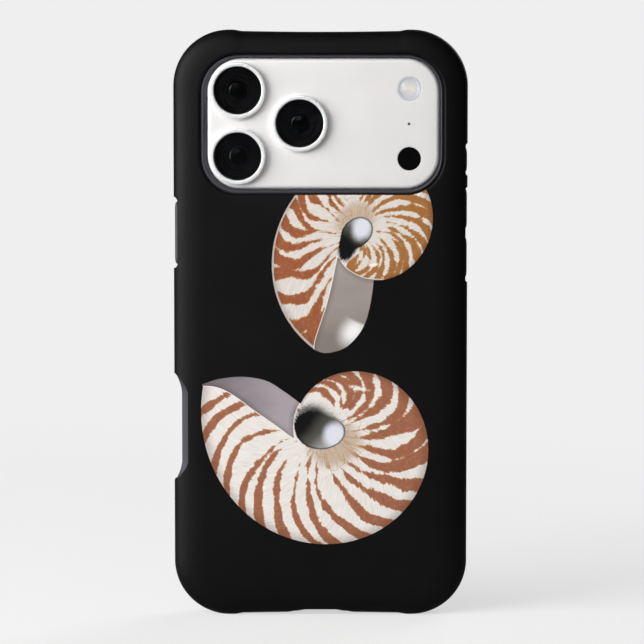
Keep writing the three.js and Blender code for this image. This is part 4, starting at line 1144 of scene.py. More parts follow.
lens_pieces = {"ring": [], "barrel": [], "element": [], "glass": []}
for kind, profile, slot in (("ring", ring_profile, "lens_ring"), ("barrel", barrel_profile, "barrel"),
                            ("element", element_profile, "element"), ("glass", glass_profile, "lens_glass")):
    for name, (x, z) in lens_places.items():
        piece = lathe(f"{name}_camera_{kind}", x, z, profile)
        place_in_model(piece, f"lens_{kind}_{name}")
        lens_pieces[kind].append(piece)
print("camera pieces:", sum(len(pieces) for pieces in lens_pieces.values()))

# %% [markdown]
# ### Ring, barrel, dome and cover glass
#
# The ring is the same metal as the body, blasted more finely, so it is a little brighter and glossier. The
# barrel is matt black paint. The dome is coated, and its reflection shifts from green to violet with the
# angle: that coloured reflection is painted into the dome's base colour, where a Layer Weight drives it.
# The cover glass is clear, thin and anti-reflective, so it passes nearly all light.

# %% Finishes of the cameras
ring_finish = blasted_metal("polished_ring_metal", (0.93, 0.93, 0.94), (0.97, 0.97, 0.97), 0.3, 0.24, 0.34)

barrel_paint = Finish("black_barrel_paint", Roughness=0.5, Specular_IOR_Level=0.25)
barrel_grain = barrel_paint.noise(1800.0, 3.0)
barrel_paint.set(
    Base_Color=barrel_paint.mix(barrel_grain, (0.0012, 0.0012, 0.0015), (0.0024, 0.0024, 0.003)),
    Normal=barrel_paint.bump(barrel_grain, 0.00002, 0.3),
)

dome_coating = Finish("coated_dome_glass", Roughness=0.05, IOR=1.25, Coat_Weight=0.04, Coat_Roughness=0.02)
# Painted reflection: a Layer Weight and a noise shift the dome's base colour from green to violet with the
# viewing angle.
facing = dome_coating.add("LayerWeight", {"Blend": 0.4}).outputs["Facing"]
reflection_patch = dome_coating.noise(260.0, 2.0)
painted_reflection_tint = dome_coating.math("MULTIPLY", facing, reflection_patch)
dome_coating.set(Base_Color=dome_coating.over((0.004, 0.006, 0.004), (0.012, 0.006, 0.02), painted_reflection_tint, 0.02, 0.3))

cover_glass = Finish("clear_cover_glass", IOR=1.2, Transmission_Weight=1.0, Coat_Weight=0.0)
smears = cover_glass.noise(90.0, 4.0)
cover_glass.set(Base_Color=cover_glass.mix(smears, (0.62, 0.63, 0.66), (0.66, 0.66, 0.68)),
                Roughness=cover_glass.ramp(smears, 0.4, 0.8, 0.0, 0.05))

for kind, finish in (("ring", ring_finish), ("barrel", barrel_paint), ("element", dome_coating),
                     ("glass", cover_glass)):
    for piece in lens_pieces[kind]:
        coat(piece, finish)
    print(kind, "wears", finish.material.name)

# %% [markdown]
# ## Flash, distance sensor and microphone
#
# The flash is a clear lens pressed with fine concentric ribs over a yellow light source, and it is the ribs
# that make it sparkle. The sensor's window is polished black glass. The microphone is a hole with a woven
# mesh.

# %% Flash, window and mesh
FLASH_FACE, FLASH_END, FLASH_FIELD = PLATEAU_FACE, 1.5 * MM, FLASH_RADIUS - 0.5 * MM
RIB_COUNT, RIB_TOP, RIB_FOOT = 9, FLASH_FACE + 0.12 * MM, FLASH_FACE + 0.2 * MM
ribs = [(0.0, RIB_TOP)]
for k in range(RIB_COUNT):
    ribs += [((k + 0.35) * FLASH_FIELD / RIB_COUNT, RIB_TOP)]
    ribs += [((k + 0.95) * FLASH_FIELD / RIB_COUNT, RIB_FOOT)]
ribs += [(FLASH_RADIUS - 0.4 * MM, FLASH_FACE), (FLASH_RADIUS - CHAMFER, FLASH_FACE),
         (FLASH_RADIUS, FLASH_FACE + CHAMFER), (FLASH_RADIUS, FLASH_END), (0.0, FLASH_END)]
flash = lathe("ribbed_flash_lens", FLASH_X, FLASH_Z, ribs, smooth_angle=12)
LED_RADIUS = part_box("flash_led")[1].x - FLASH_X
LED_FACE, LED_BACK = 1.6 * MM, 2.1 * MM
led = lathe("flash_phosphor", FLASH_X, FLASH_Z,
            [(0.0, LED_BACK), (LED_RADIUS, LED_BACK), (LED_RADIUS, LED_FACE + CHAMFER),
             (LED_RADIUS - CHAMFER, LED_FACE), (0.0, LED_FACE)])
window = lathe("sensor_window", WINDOW_X, WINDOW_Z,
               [(0.0, 1.4 * MM), (WINDOW_RADIUS, 1.4 * MM), (WINDOW_RADIUS, PLATEAU_FACE + 0.12 * MM),
                (WINDOW_RADIUS - 0.12 * MM, PLATEAU_FACE), (0.0, PLATEAU_FACE)])
mic = lathe("microphone_mesh", MIC_X, MIC_Z,
            [(0.0, 1.3 * MM), (MIC_RADIUS, 1.3 * MM), (MIC_RADIUS, PLATEAU_FACE + 0.45 * MM),
             (MIC_RADIUS * 0.6, PLATEAU_FACE + 0.4 * MM), (0.0, PLATEAU_FACE + 0.4 * MM)], steps=48)

flash_plastic = Finish("clear_ribbed_plastic", IOR=1.45, Transmission_Weight=0.22)
haze = flash_plastic.noise(700.0, 3.0)
off_axis = flash_plastic.distance((FLASH_X, BACK_Y + FLASH_FACE, FLASH_Z))
cool_edge = flash_plastic.mix(haze, (0.68, 0.73, 0.8), (0.8, 0.84, 0.88))
warm_middle = flash_plastic.mix(haze, (0.86, 0.78, 0.68), (0.95, 0.92, 0.87))
flash_plastic.set(
    Base_Color=flash_plastic.over(warm_middle, cool_edge, off_axis, 0.3 * FLASH_RADIUS, 0.85 * FLASH_RADIUS,
                                  smooth=True),
    Roughness=flash_plastic.ramp(haze, 0.3, 0.7, 0.12, 0.25))
phosphor = Finish("yellow_phosphor", Roughness=0.6)
phosphor_grain = phosphor.noise(2400.0, 3.0)
phosphor.set(Base_Color=phosphor.mix(phosphor_grain, (0.85, 0.62, 0.2), (0.95, 0.78, 0.4)),
             Normal=phosphor.bump(phosphor_grain, 0.00003, 0.5))
dark_window = Finish("polished_black_window", Specular_IOR_Level=0.3)
wipe_marks = dark_window.noise(300.0, 4.0)
dark_window.set(Base_Color=dark_window.mix(wipe_marks, (0.0015, 0.0015, 0.0018), (0.003, 0.003, 0.0035)),
                Roughness=dark_window.ramp(wipe_marks, 0.3, 0.8, 0.05, 0.14))


def woven_mesh(name, pitch):
    """Two crossed sets of wires."""
    finish = Finish(name, Metallic=0.6, Roughness=0.5)
    frequency = 2 * math.pi / pitch
    parts = finish.add("SeparateXYZ", {0: finish.place()}).outputs
    across = finish.math("ABSOLUTE", finish.math("SINE", finish.math("MULTIPLY", parts["X"], frequency)))
    along = finish.math("ABSOLUTE", finish.math("SINE", finish.math("MULTIPLY", parts["Z"], frequency)))
    wires = finish.math("MAXIMUM", across, along)
    finish.set(Base_Color=finish.over((0.01, 0.01, 0.011), (0.16, 0.16, 0.17), wires, 0.6, 0.95),
               Normal=finish.bump(wires, 0.00004, 0.7))
    return finish


mesh_finish = woven_mesh("woven_steel_mesh", 0.22 * MM)
place_in_model(flash, "flash_lens", flash_plastic)
place_in_model(led, "flash_led", phosphor)
place_in_model(window, "depth_window", dark_window)
place_in_model(mic, "rear_mic_mesh", mesh_finish)
print("flash ribs:", RIB_COUNT)

# %% [markdown]
# ## The display side
#
# The front is one sheet of polished glass over a panel that is switched off. A switched-off screen is not
# quite black, but the ink printed behind the glass around it is, and so is the border of the small round
# window that the front camera looks through. So the glass's colour is worked out from the distance to the
# panel's edge and to the camera's axis. Traces of wiped marks in the roughness keep it from being a perfect
# mirror. The glass edge is rounded, and a slot in it holds the earpiece's mesh.

# %% Display glass, panel, front camera and earpiece
display_glass = plate("display_cover_glass", inset_rect(GLASS_INSET),
                      rounded_layers(GLASS_BACK_DEPTH, GLASS_FACE_DEPTH, 0.05 * MM, 0.25 * MM), FINE_STEPS)
_, grille_z, grille_half = centre_of("earpiece_grille")
EARPIECE = dict(x=0.0, z=grille_z, half_width=grille_half, half_height=0.25 * MM, radius=0.2 * MM)
boolean(display_glass, [plate("slot", EARPIECE, [(GLASS_BACK_DEPTH - MM, 0.1 * MM), (LIP_DEPTH, 0.1 * MM)])])
CAMERA_X, CAMERA_Z, CAMERA_RADIUS = centre_of("front_camera_lens")
PANEL_RECT = inset_rect(PANEL_INSET)
PANEL_FACE_DEPTH = GLASS_BACK_DEPTH - 0.05 * MM
panel = plate("display_panel_sheet", PANEL_RECT,
              rounded_layers(PANEL_BACK_DEPTH, PANEL_FACE_DEPTH, 0.05 * MM, 0.05 * MM, 3), FINE_STEPS)
hole_radius, hole_start = CAMERA_RADIUS + FIT, PANEL_BACK_DEPTH - MM
boolean(panel, [lathe("well", CAMERA_X, CAMERA_Z, [(0.0, hole_start), (hole_radius, hole_start),
                                                   (hole_radius, LIP_DEPTH), (0.0, LIP_DEPTH)])])
front_dome = [(CAMERA_RADIUS * math.cos(a), GLASS_BACK_DEPTH - 0.4 * MM + 0.3 * MM * math.sin(a))
              for a in np.linspace(0, math.pi / 2, 9)[:-1]]
front_camera = lathe("front_camera_dome", CAMERA_X, CAMERA_Z,
                     [(0.0, PANEL_BACK_DEPTH), (CAMERA_RADIUS, PANEL_BACK_DEPTH), *front_dome,
                      (0.0, GLASS_BACK_DEPTH - 0.1 * MM)], steps=48)
MESH_BACK_DEPTH, MESH_FACE_DEPTH = GLASS_BACK_DEPTH + 0.1 * MM, GLASS_FACE_DEPTH - 0.15 * MM
grille = plate("earpiece_mesh", EARPIECE,
               rounded_layers(MESH_BACK_DEPTH, MESH_FACE_DEPTH, 0.03 * MM, 0.08 * MM, 4))
inlay = plate("rear_glass_inlay", INLAY,
              rounded_layers(PHONE_BACK_DEPTH, INLAY_BACK, 0.1 * MM, 0.05 * MM, 4), FINE_STEPS)


def outside_rect(finish, rect):
    """Distance from a rounded rectangle's edge in the plane of the display, negative inside."""
    parts = finish.add("SeparateXYZ", {0: finish.place()}).outputs
    across = finish.math("SUBTRACT", finish.math("ABSOLUTE", parts["X"]), rect["half_width"] - rect["radius"])
    from_middle = finish.math("ABSOLUTE", finish.math("SUBTRACT", parts["Z"], rect["z"]))
    along = finish.math("SUBTRACT", from_middle, rect["half_height"] - rect["radius"])
    corner = finish.add("CombineXYZ", {0: finish.math("MAXIMUM", across, 0.0),
                                       1: finish.math("MAXIMUM", along, 0.0)})
    length = finish.add("VectorMath", {0: corner.outputs[0]}, operation="LENGTH").outputs["Value"]
    return finish.math("SUBTRACT", length, rect["radius"])


display_gloss = Finish("polished_display_glass", IOR=1.5, Transmission_Weight=0.6)
MASK_BLUR = 0.1 * MM
marks = display_gloss.noise(45.0, 5.0, vector=display_gloss.stretched((1.0, 1.0, 0.4)))
lit_area = display_gloss.ramp(outside_rect(display_gloss, PANEL_RECT), -MASK_BLUR, MASK_BLUR, 1.0, 0.0)
black_mask = display_gloss.mix(lit_area, (0.003, 0.003, 0.0035),
                               display_gloss.mix(marks, (0.032, 0.033, 0.04), (0.045, 0.046, 0.056)))
off_camera = display_gloss.distance((CAMERA_X, BACK_Y + GLASS_FACE_DEPTH, CAMERA_Z))
masked = display_gloss.over(black_mask, (0.002, 0.002, 0.002), off_camera, CAMERA_RADIUS * 1.4,
                            CAMERA_RADIUS * 1.5, 1.0, 0.0)
display_gloss.set(Base_Color=display_gloss.over(masked, (0.2, 0.22, 0.27), off_camera, CAMERA_RADIUS * 0.9,
                                                CAMERA_RADIUS, 1.0, 0.0),
                  Roughness=display_gloss.ramp(marks, 0.45, 0.8, 0.02, 0.09))
dark_panel = Finish("dark_panel_film", Roughness=0.2, Specular_IOR_Level=0.3)
panel_cloud = dark_panel.noise(60.0, 2.0)
dark_panel.set(Base_Color=dark_panel.mix(panel_cloud, (0.001, 0.001, 0.0013), (0.002, 0.002, 0.0026)))
frosted = Finish("frosted_back_glass", Specular_IOR_Level=0.4)
frost = frosted.noise(2100.0, 3.0)
frosted.set(Base_Color=frosted.mix(frosted.noise(25.0, 3.0), (0.7, 0.69, 0.68), (0.75, 0.74, 0.73)),
            Roughness=frosted.ramp(frost, 0.3, 0.7, 0.4, 0.52), Normal=frosted.bump(frost, 0.00002, 0.3))
place_in_model(display_glass, "display_glass", display_gloss)
place_in_model(panel, "display_panel", dark_panel)
place_in_model(front_camera, "front_camera_lens", dome_coating)
place_in_model(grille, "earpiece_grille", mesh_finish)
place_in_model(inlay, "rear_inlay", frosted)
print("display side: glass", len(display_glass.data.polygons), "faces")

# %% [markdown]
# ## Keys, camera control and charging socket
#
# The phone's own keys hide under the soft covers and move with them. The camera control is bare: a long
# polished strip, sunk flush in the frame. The socket is a thin steel sleeve with a black tongue, between
# two small screws.

# %% Keys, camera control, socket and screws
KEY_INNER, KEY_OUTER, KEY_ROUND = PHONE_HALF - 1.5 * MM, PHONE_HALF + 0.3 * MM, 0.25 * MM
key_layers = [(KEY_INNER, 0.0)]
key_layers += [(KEY_OUTER - KEY_ROUND * (1 - sine), -KEY_ROUND * rise) for sine, rise in quarter(6)]
for name, b in BUTTONS.items():
    key = side_bar(name + "_key_slide", b["side"], b["middle"], b["length"] - BUTTON_SHORTER,
                   BUTTON_THICKNESS, key_layers)
    place_in_model(key, name + "_button", body_finish, name + "_key")

CONTROL_FACE, CONTROL_ROUND = PHONE_HALF - 0.02 * MM, 0.2 * MM
control_layers = [(PHONE_HALF - 1.8 * MM, 0.0)]
control_layers += [(CONTROL_FACE - CONTROL_ROUND * (1 - sine), -CONTROL_ROUND * rise)
                   for sine, rise in quarter(6)]
control = side_bar("camera_control_strip", -1, CONTROL_Z, CONTROL_LENGTH, CONTROL_THICKNESS, control_layers)

SOCKET_WALL = 0.3 * MM
SOCKET_LOW, SOCKET_HIGH = PHONE_BOTTOM + 0.15 * MM, PHONE_BOTTOM + SOCKET_LENGTH
socket = upright_bar("socket_sleeve", 0.0, PORT_DEPTH, SOCKET_WIDTH, SOCKET_THICKNESS,
                     [(SOCKET_LOW, -0.05 * MM), (SOCKET_LOW + CHAMFER, 0.0), (SOCKET_HIGH, 0.0)], steps=18)
bore_layers = [(PHONE_BOTTOM - MM, 0.5 * MM), (SOCKET_LOW, 0.1 * MM), (SOCKET_LOW + 0.12 * MM, 0.0),
               (SOCKET_HIGH - 0.5 * MM, 0.0)]
boolean(socket, [upright_bar("bore", 0.0, PORT_DEPTH, SOCKET_WIDTH - 2 * SOCKET_WALL,
                             SOCKET_THICKNESS - 2 * SOCKET_WALL, bore_layers, steps=18)])
tongue_low, tongue_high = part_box("port_tongue")
tongue = upright_bar("socket_tongue", 0.0, PORT_DEPTH, tongue_high.x - tongue_low.x,
                     tongue_high.y - tongue_low.y,
                     [(tongue_low.z, -0.12 * MM), (tongue_low.z + 0.15 * MM, 0.0), (tongue_high.z, 0.0)],
                     radius=0.2 * MM)

strip_finish = blasted_metal("polished_control_metal", (0.8, 0.79, 0.78), (0.85, 0.84, 0.83), 0.8, 0.16, 0.24)
steel = blasted_metal("plain_steel", (0.5, 0.5, 0.51), (0.58, 0.58, 0.59), 1.0, 0.25, 0.36)
place_in_model(control, "camera_control", strip_finish)
place_in_model(socket, "port_shell", steel)
place_in_model(tongue, "port_tongue", barrel_paint)

STAR_TIP, STAR_NOTCH, STAR_DEPTH, STAR_POINTS = 0.34 * MM, 0.15 * MM, 0.3 * MM, 10
for side, name in ((-1, "left"), (1, "right")):
    screw_low, screw_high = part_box("port_screw_" + name)
    screw = upright_bar(name + "_screw", side * SCREW_X, PORT_DEPTH, 2 * SCREW_RADIUS, 2 * SCREW_RADIUS,
                        [(screw_low.z, -0.15 * MM), (screw_low.z + 0.12 * MM, 0.0), (screw_high.z, 0.0)])
    points = [(STAR_TIP if k % 2 == 0 else STAR_NOTCH, k * math.pi / 5) for k in range(STAR_POINTS)]
    star = np.array([(side * SCREW_X + r * math.cos(a), BACK_Y + PORT_DEPTH + r * math.sin(a))
                     for r, a in points])
    star_rings = [np.column_stack((star, np.full(STAR_POINTS, height)))
                  for height in (screw_low.z - MM, screw_low.z + STAR_DEPTH)]
    boolean(screw, [outward(stack("star_recess", star_rings, 12))])
    place_in_model(screw, "port_screw_" + name, steel)
print("socket and screws made")

# %% [markdown]
# ## The printed picture
#
# The picture on the back is a pair of nautilus shells, printed straight on the hard plastic and wrapped
# over the camera opening's edge. Ink has almost no thickness, so each shell is a film that lies a few
# hundredths of a millimetre off the plastic. An image texture would be the usual way. Drawing it by rule
# gives sharper edges, and teaches more: a nautilus grows by one rule. Each turn of its outline is a
# logarithmic spiral, and its stripes are old shell edges, so they all start near the middle and sweep back
# towards the older part.
#
# Each film is a fan of points: rays from the hollow in the middle, and rings from it to the outline. The
# drawing is worked out at every point as numbers stored on the mesh, and the material turns these into ink.

# %% Lines and outlines
RAYS, RINGS = 620, 140
INK_LIFT = 0.02 * MM
OUTLINE_POINTS = 900


def spiral_outline(pole, start_radius, growth, turn, start, sweep, squeeze=1.0, tilt=0.0):
    """Points (mm) of a logarithmic spiral about a pole, which may be squeezed across a tilted direction."""
    angle = np.linspace(0, sweep, OUTLINE_POINTS)
    radius = start_radius * np.exp(growth * angle)
    u = radius * np.cos(start + turn * angle)
    v = radius * np.sin(start + turn * angle) / squeeze
    return np.column_stack((pole[0] + u * math.cos(tilt) - v * math.sin(tilt),
                            pole[1] + u * math.sin(tilt) + v * math.cos(tilt)))


def smooth_line(points, count=400):
    """A smooth curve through points, by Catmull-Rom."""
    points = np.array(points, float)
    padded = np.vstack((2 * points[0] - points[1], points, 2 * points[-1] - points[-2]))
    result = []
    for k in range(len(points) - 1):
        a, b, c, d = padded[k:k + 4]
        t = np.linspace(0, 1, max(count // (len(points) - 1), 2), endpoint=False)[:, None]
        result.append(0.5 * (2 * b + (c - a) * t + (2 * a - 5 * b + 4 * c - d) * t ** 2
                             + (3 * b - 3 * c + d - a) * t ** 3))
    return np.vstack((*result, points[-1:]))


def reach_along(outline, middle, angles):
    """How far the closed outline lies from a middle along each direction (the farthest crossing)."""
    a = outline - middle
    b = np.roll(a, -1, axis=0)
    edge_vector = b - a
    reach = np.zeros_like(angles)
    for k, angle in enumerate(angles):
        direction = np.array((math.cos(angle), math.sin(angle)))
        cross_edge = direction[0] * edge_vector[:, 1] - direction[1] * edge_vector[:, 0]
        cross_edge = np.where(np.abs(cross_edge) < 1e-12, 1e-12, cross_edge)
        distance = (a[:, 0] * edge_vector[:, 1] - a[:, 1] * edge_vector[:, 0]) / cross_edge
        share = (a[:, 0] * direction[1] - a[:, 1] * direction[0]) / cross_edge
        hit = (distance > 0) & (share >= 0) & (share <= 1)
        reach[k] = distance[hit].max() if hit.any() else 0.0
    return reach


def signed_side(line, x, z):
    """Distance from an open line in mm, positive to the right of its direction."""
    best = np.full(x.shape, 1e9)
    side = np.zeros(x.shape)
    for p, q in zip(line[:-1], line[1:]):
        step = q - p
        length = max(float(np.hypot(*step)), 1e-9)
        share = np.clip(((x - p[0]) * step[0] + (z - p[1]) * step[1]) / length ** 2, 0, 1)
        away = np.hypot(x - p[0] - share * step[0], z - p[1] - share * step[1])
        cross = ((z - p[1]) * step[0] - (x - p[0]) * step[1]) / length
        closer = away < best
        best = np.where(closer, away, best)
        side = np.where(closer, np.where(cross > 0, -1.0, 1.0), side)
    return best * side


print("an outline has", OUTLINE_POINTS, "points")

# %% [markdown]
# The film itself follows the curved back and bends over the rounded rim of the opening. Points that would
# hang inside the opening are left out.

# %% The film
def back_height(x, z):
    """The printed surface: the curved back, falling away at the rounded rim of the camera opening."""
    to_rim = distance_to(OPENING, x, z) - RIM_GAP
    from_flat = np.clip((RIM_ROUND - to_rim) / RIM_ROUND, 0.0, 1.0)
    drop = RIM_ROUND * (1 - np.sqrt(np.clip(1 - from_flat ** 2, 0, 1)))
    return BACK_Y + back_fall(x, z) + drop - INK_LIFT


def print_film(name, outline, middle):
    """A fan-shaped film in mm from the middle to the outline, clipped at the camera opening."""
    angles = np.linspace(0, 2 * math.pi, RAYS, endpoint=False)
    reach = reach_along(outline, np.array(middle), angles)
    shares = np.linspace(0, 1, RINGS + 1)[1:] ** 0.8
    x = middle[0] + np.outer(shares, reach * np.cos(angles))
    z = middle[1] + np.outer(shares, reach * np.sin(angles))
    x, z = np.append(x.ravel(), middle[0]), np.append(z.ravel(), middle[1])
    inside = distance_to(OPENING, x * MM, z * MM) - RIM_GAP
    points = np.column_stack((x * MM, back_height(x * MM, z * MM), z * MM))
    hub = RINGS * RAYS
    faces = [(hub, (i + 1) % RAYS, i) for i in range(RAYS)] + ring_quads(RINGS, RAYS)
    kept = [face for face in faces if all(inside[corner] > 0.02 * MM for corner in face)]
    used = sorted({corner for face in kept for corner in face})
    number = {corner: place for place, corner in enumerate(used)}
    film = link_mesh(name, points[used], [[number[c] for c in face] for face in kept], 60)
    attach(film, MAIN_BODY)
    return film, {"x": x[used], "z": z[used]}


def store(film, **numbers):
    """Stores one number for each point of a film."""
    for name, values in numbers.items():
        layer = film.data.attributes.new(name, "FLOAT", "POINT")
        layer.data.foreach_set("value", np.asarray(values, np.float32))


print("a whole film has", RAYS * RINGS + 1, "points")


# %% [markdown]
# ### The stripes
#
# A stripe starts as a thin line near the hollow, widens outwards and bends back. So each one is a curve in
# two numbers: the angle about the hollow and the share of the way to the outline. Neighbours differ a
# little in width, length and bend, drawn from a seeded random row, or the pattern would look stamped. Where
# two stripes touch they merge, because only the nearest edge counts.

# %% Rules for stripes
def stripe_field(angle, share, stripes):
    """How deep a point lies inside the nearest stripe, in radians of angle, positive inside."""
    field = np.full(angle.shape, -9.0)
    for s in stripes:
        middle = s["at_edge"] - s["sweep"] * (1 - share ** s["curl"]) + s["bow"] * np.sin(math.pi * share)
        middle = middle + s["wave"] * np.sin(9.0 * share + s["phase"])
        grown = np.clip((share - s["start"]) / (1 - s["start"]), 0, 1)
        half = s["thin"] + (s["wide"] - s["thin"]) * grown ** 0.7 - 0.6 * np.clip(s["start"] - share, 0, 1)
        away = np.abs((angle - middle + math.pi) % (2 * math.pi) - math.pi)
        field = np.maximum(field, half - away)
    return field


def row_of_stripes(random, first, last, count, sweeps, widths, start, curl, bow=0.0, wave=0.03, uneven=0.3):
    """Evenly spread stripes with small seeded differences. Sweeps and widths are spread along the row."""
    pitch = math.radians(last - first) / count
    stripes = []
    for k in range(count):
        along = (k + 0.5) / count
        sweep = np.interp(along, np.linspace(0, 1, len(sweeps)), sweeps)
        wide = 0.5 * pitch * np.interp(along, np.linspace(0, 1, len(widths)), widths)
        stripes.append({
            "at_edge": math.radians(first) + pitch * (k + 0.5 + uneven * random.uniform(-0.5, 0.5)),
            "sweep": sweep * random.uniform(0.92, 1.08),
            "start": start * random.uniform(0.65, 1.5),
            "thin": abs(wide) * 0.3,
            "wide": abs(wide) * random.uniform(0.8, 1.2),
            "curl": curl * random.uniform(0.9, 1.1),
            "bow": bow * random.uniform(0.6, 1.4),
            "wave": wave,
            "phase": random.uniform(0, 6.0),
        })
    return stripes


def fan_numbers(points, middle, outline):
    """Angle about the middle, distance in mm, and share of the way to the outline."""
    dx, dz = points["x"] - middle[0], points["z"] - middle[1]
    angle = np.arctan2(dz, dx)
    distance = np.hypot(dx, dz)
    ring = np.linspace(-math.pi, math.pi, 1441)
    reach = np.interp(angle, ring, reach_along(outline, np.array(middle), ring + 1e-5))
    return angle, distance, distance / np.maximum(reach, 1e-6)


def joined(first, second, softness=3.0):
    """The union of two areas given as distances inside, with a rounded corner between them."""
    return np.logaddexp(softness * first, softness * second) / softness


def oval(points, middle, radii, tilt=0.0):
    """How far inside an oval a point lies: 1 at its middle, 0 on its edge."""
    dx, dz = points["x"] - middle[0], points["z"] - middle[1]
    u = dx * math.cos(tilt) + dz * math.sin(tilt)
    v = dz * math.cos(tilt) - dx * math.sin(tilt)
    return 1.0 - np.hypot(u / radii[0], v / radii[1])


print("two areas that touch at 0 join at", round(float(joined(0.0, 0.0)), 2))


# %% [markdown]
# ### The lower nautilus
#
# Its outline is one turn of a spiral that grows clockwise from the notch beside the opening to the
# opening's tip, and then the far edge of the opening leads back. The lip line divides the striped outside
# from the pearly inside. The hollow is two ovals side by side, dark where the wall overhangs it and bright
# where it faces the light.

# %% The lower nautilus
LOWER_MIDDLE = (0.0, 55.0)
lower_spiral = spiral_outline((7.0, 53.7), 15.9, 0.17, -1.0, math.radians(143.6), math.radians(343))
lower_far_edge = smooth_line([(-35.0, 68.7), (-30.0, 70.3), (-23.0, 71.0), (-16.0, 69.8), (-10.5, 66.5),
                              (-6.0, 63.2)])
lower_lip = smooth_line([(-36.2, 68.3), (-31.0, 68.0), (-26.0, 65.8), (-19.5, 61.0), (-14.0, 57.2),
                         (-8.0, 52.8), (-3.0, 50.0)], 90)
lower_wall = smooth_line([(-6.0, 63.5), (-7.6, 60.0), (-8.0, 56.2), (-7.7, 52.6)], 40)
lower_outline = np.vstack((lower_spiral, lower_far_edge[1:-1]))
lower_film, lower = print_film("printed_nautilus_lower", lower_outline, LOWER_MIDDLE)
angle, distance, share = fan_numbers(lower, LOWER_MIDDLE, lower_outline)
lower_stripes = row_of_stripes(np.random.default_rng(11), 166, 474, 23,
                               sweeps=(0.72, 0.66, 0.6, 0.42, 0.42, 0.6, 0.95),
                               widths=(0.46, 0.5, 0.56, 0.72, 0.8, 0.86, 0.78), start=0.3, curl=2.2,
                               uneven=0.22)
beyond_lip = signed_side(lower_lip, lower["x"], lower["z"])
left_of_wall = signed_side(lower_wall, lower["x"], lower["z"])
lower_inner = np.minimum(-beyond_lip, left_of_wall)
lower_hollow = joined(6.0 * oval(lower, (0.5, 54.6), (7.1, 5.2), 0.08),
                      5.0 * oval(lower, (-2.6, 57.6), (5.2, 5.4), -0.5), 0.9) - 0.2
store(lower_film,
      stripe=stripe_field(angle, share, lower_stripes) * np.maximum(distance, 1.0),
      pearl=lower_inner,
      pearl_tone=np.clip((lower["x"] + 33.0) / 22.0, 0.0, 1.0),
      pearl_gleam=np.full(share.shape, -1.0),
      hollow=np.minimum(lower_hollow, -left_of_wall),
      depth=((lower["x"] + 1.0) * 0.75 - (lower["z"] - 56.0) * 0.66) / 7.0,
      gleam=1.7 * oval(lower, (4.3, 53.5), (4.3, 4.8), 0.2),
      feather=np.clip((lower["z"] - 56.5) / 4.0, 0.0, 1.0),
      callus=1.15 * oval(lower, (4.2, 50.8), (12.0, 9.5), 0.35),
      glint=oval(lower, (11.0, 67.6), (4.2, 1.0), -0.25),
      golden=np.zeros(share.shape),
      growth=angle + 0.6 * share ** 2.0, out=share)
print("lower nautilus:", len(lower_film.data.polygons), "faces,", len(lower_stripes), "stripes")

# %% [markdown]
# ### The upper nautilus
#
# It lies the other way round: the spiral grows counter-clockwise, its mouth opens downwards, and the camera
# opening cuts off its top. It has two sorts of stripes, broad red-brown ones on the large chamber at the
# left and narrow golden ones on the coil at the right. The coil ends above the mouth, so its stripes are
# measured to its own edge.

# %% The upper nautilus
UPPER_MIDDLE = (11.0, 112.5)
upper_spiral = spiral_outline((15.6, 112.7), 10.9, 0.175, 1.0, -1.6, 6.487, squeeze=0.894, tilt=-0.639)
upper_mouth = smooth_line([(-2.0, 79.0), (1.5, 78.0), (6.5, 79.2), (10.0, 82.0), (12.7, 86.0), (14.3, 91.0),
                           (15.3, 97.0), (15.6, 100.5)])
upper_lip = smooth_line([(6.2, 111.0), (5.0, 106.3), (4.4, 103.8), (3.2, 98.0), (1.6, 91.7), (-0.1, 86.5),
                         (-1.7, 81.3), (-2.0, 77.5)], 90)
coil_edge = smooth_line([(4.4, 108.5), (5.2, 106.2), (7.8, 102.8), (12.0, 100.4), (15.6, 99.7), (18.0, 99.6),
                         (26.0, 98.0)], 90)
upper_outline = np.vstack((upper_spiral, upper_mouth[1:]))
upper_film, upper = print_film("printed_nautilus_upper", upper_outline, UPPER_MIDDLE)
angle, distance, share = fan_numbers(upper, UPPER_MIDDLE, upper_outline)
coil_outline = np.vstack((upper_spiral, upper_lip[::-1][10:], coil_edge[3:-12]))
_, _, coil_share = fan_numbers(upper, UPPER_MIDDLE, coil_outline)
random = np.random.default_rng(23)
broad_stripes = row_of_stripes(random, 98, 250, 12, sweeps=(-0.1, -0.1, 0.0, 0.0, 0.05),
                               widths=(0.56, 0.68, 0.76, 0.7), start=0.33, curl=1.5, bow=0.16, wave=0.06)
fine_stripes = row_of_stripes(random, -122, 64, 16, sweeps=(-0.8, -1.1, -1.0, -0.7),
                              widths=(0.98, 0.96, 0.86, 0.7), start=0.3, curl=1.2, wave=0.03, uneven=0.2)
beside_lip = signed_side(upper_lip, upper["x"], upper["z"])
above_coil = signed_side(coil_edge, upper["x"], upper["z"])
upper_inner = np.minimum(-beside_lip, above_coil)
beside_coil = (angle > math.radians(-140)) & (above_coil < 0.5)
on_coil = beside_coil & (angle < math.radians(60))
near_coil = beside_coil & (angle < math.radians(125))
fine_field = np.where(near_coil, stripe_field(angle, np.clip(coil_share, 0, 1), fine_stripes), -9.0)
broad_field = np.where(on_coil, -9.0, stripe_field(angle, share, broad_stripes))
ivory_rim = (share > 0.982) & ~on_coil
upper_hollow = joined(5.0 * oval(upper, (10.7, 113.4), (5.3, 4.2), 0.75),
                      3.4 * oval(upper, (8.0, 109.4), (2.7, 4.8), -0.35), 1.5) - 0.15
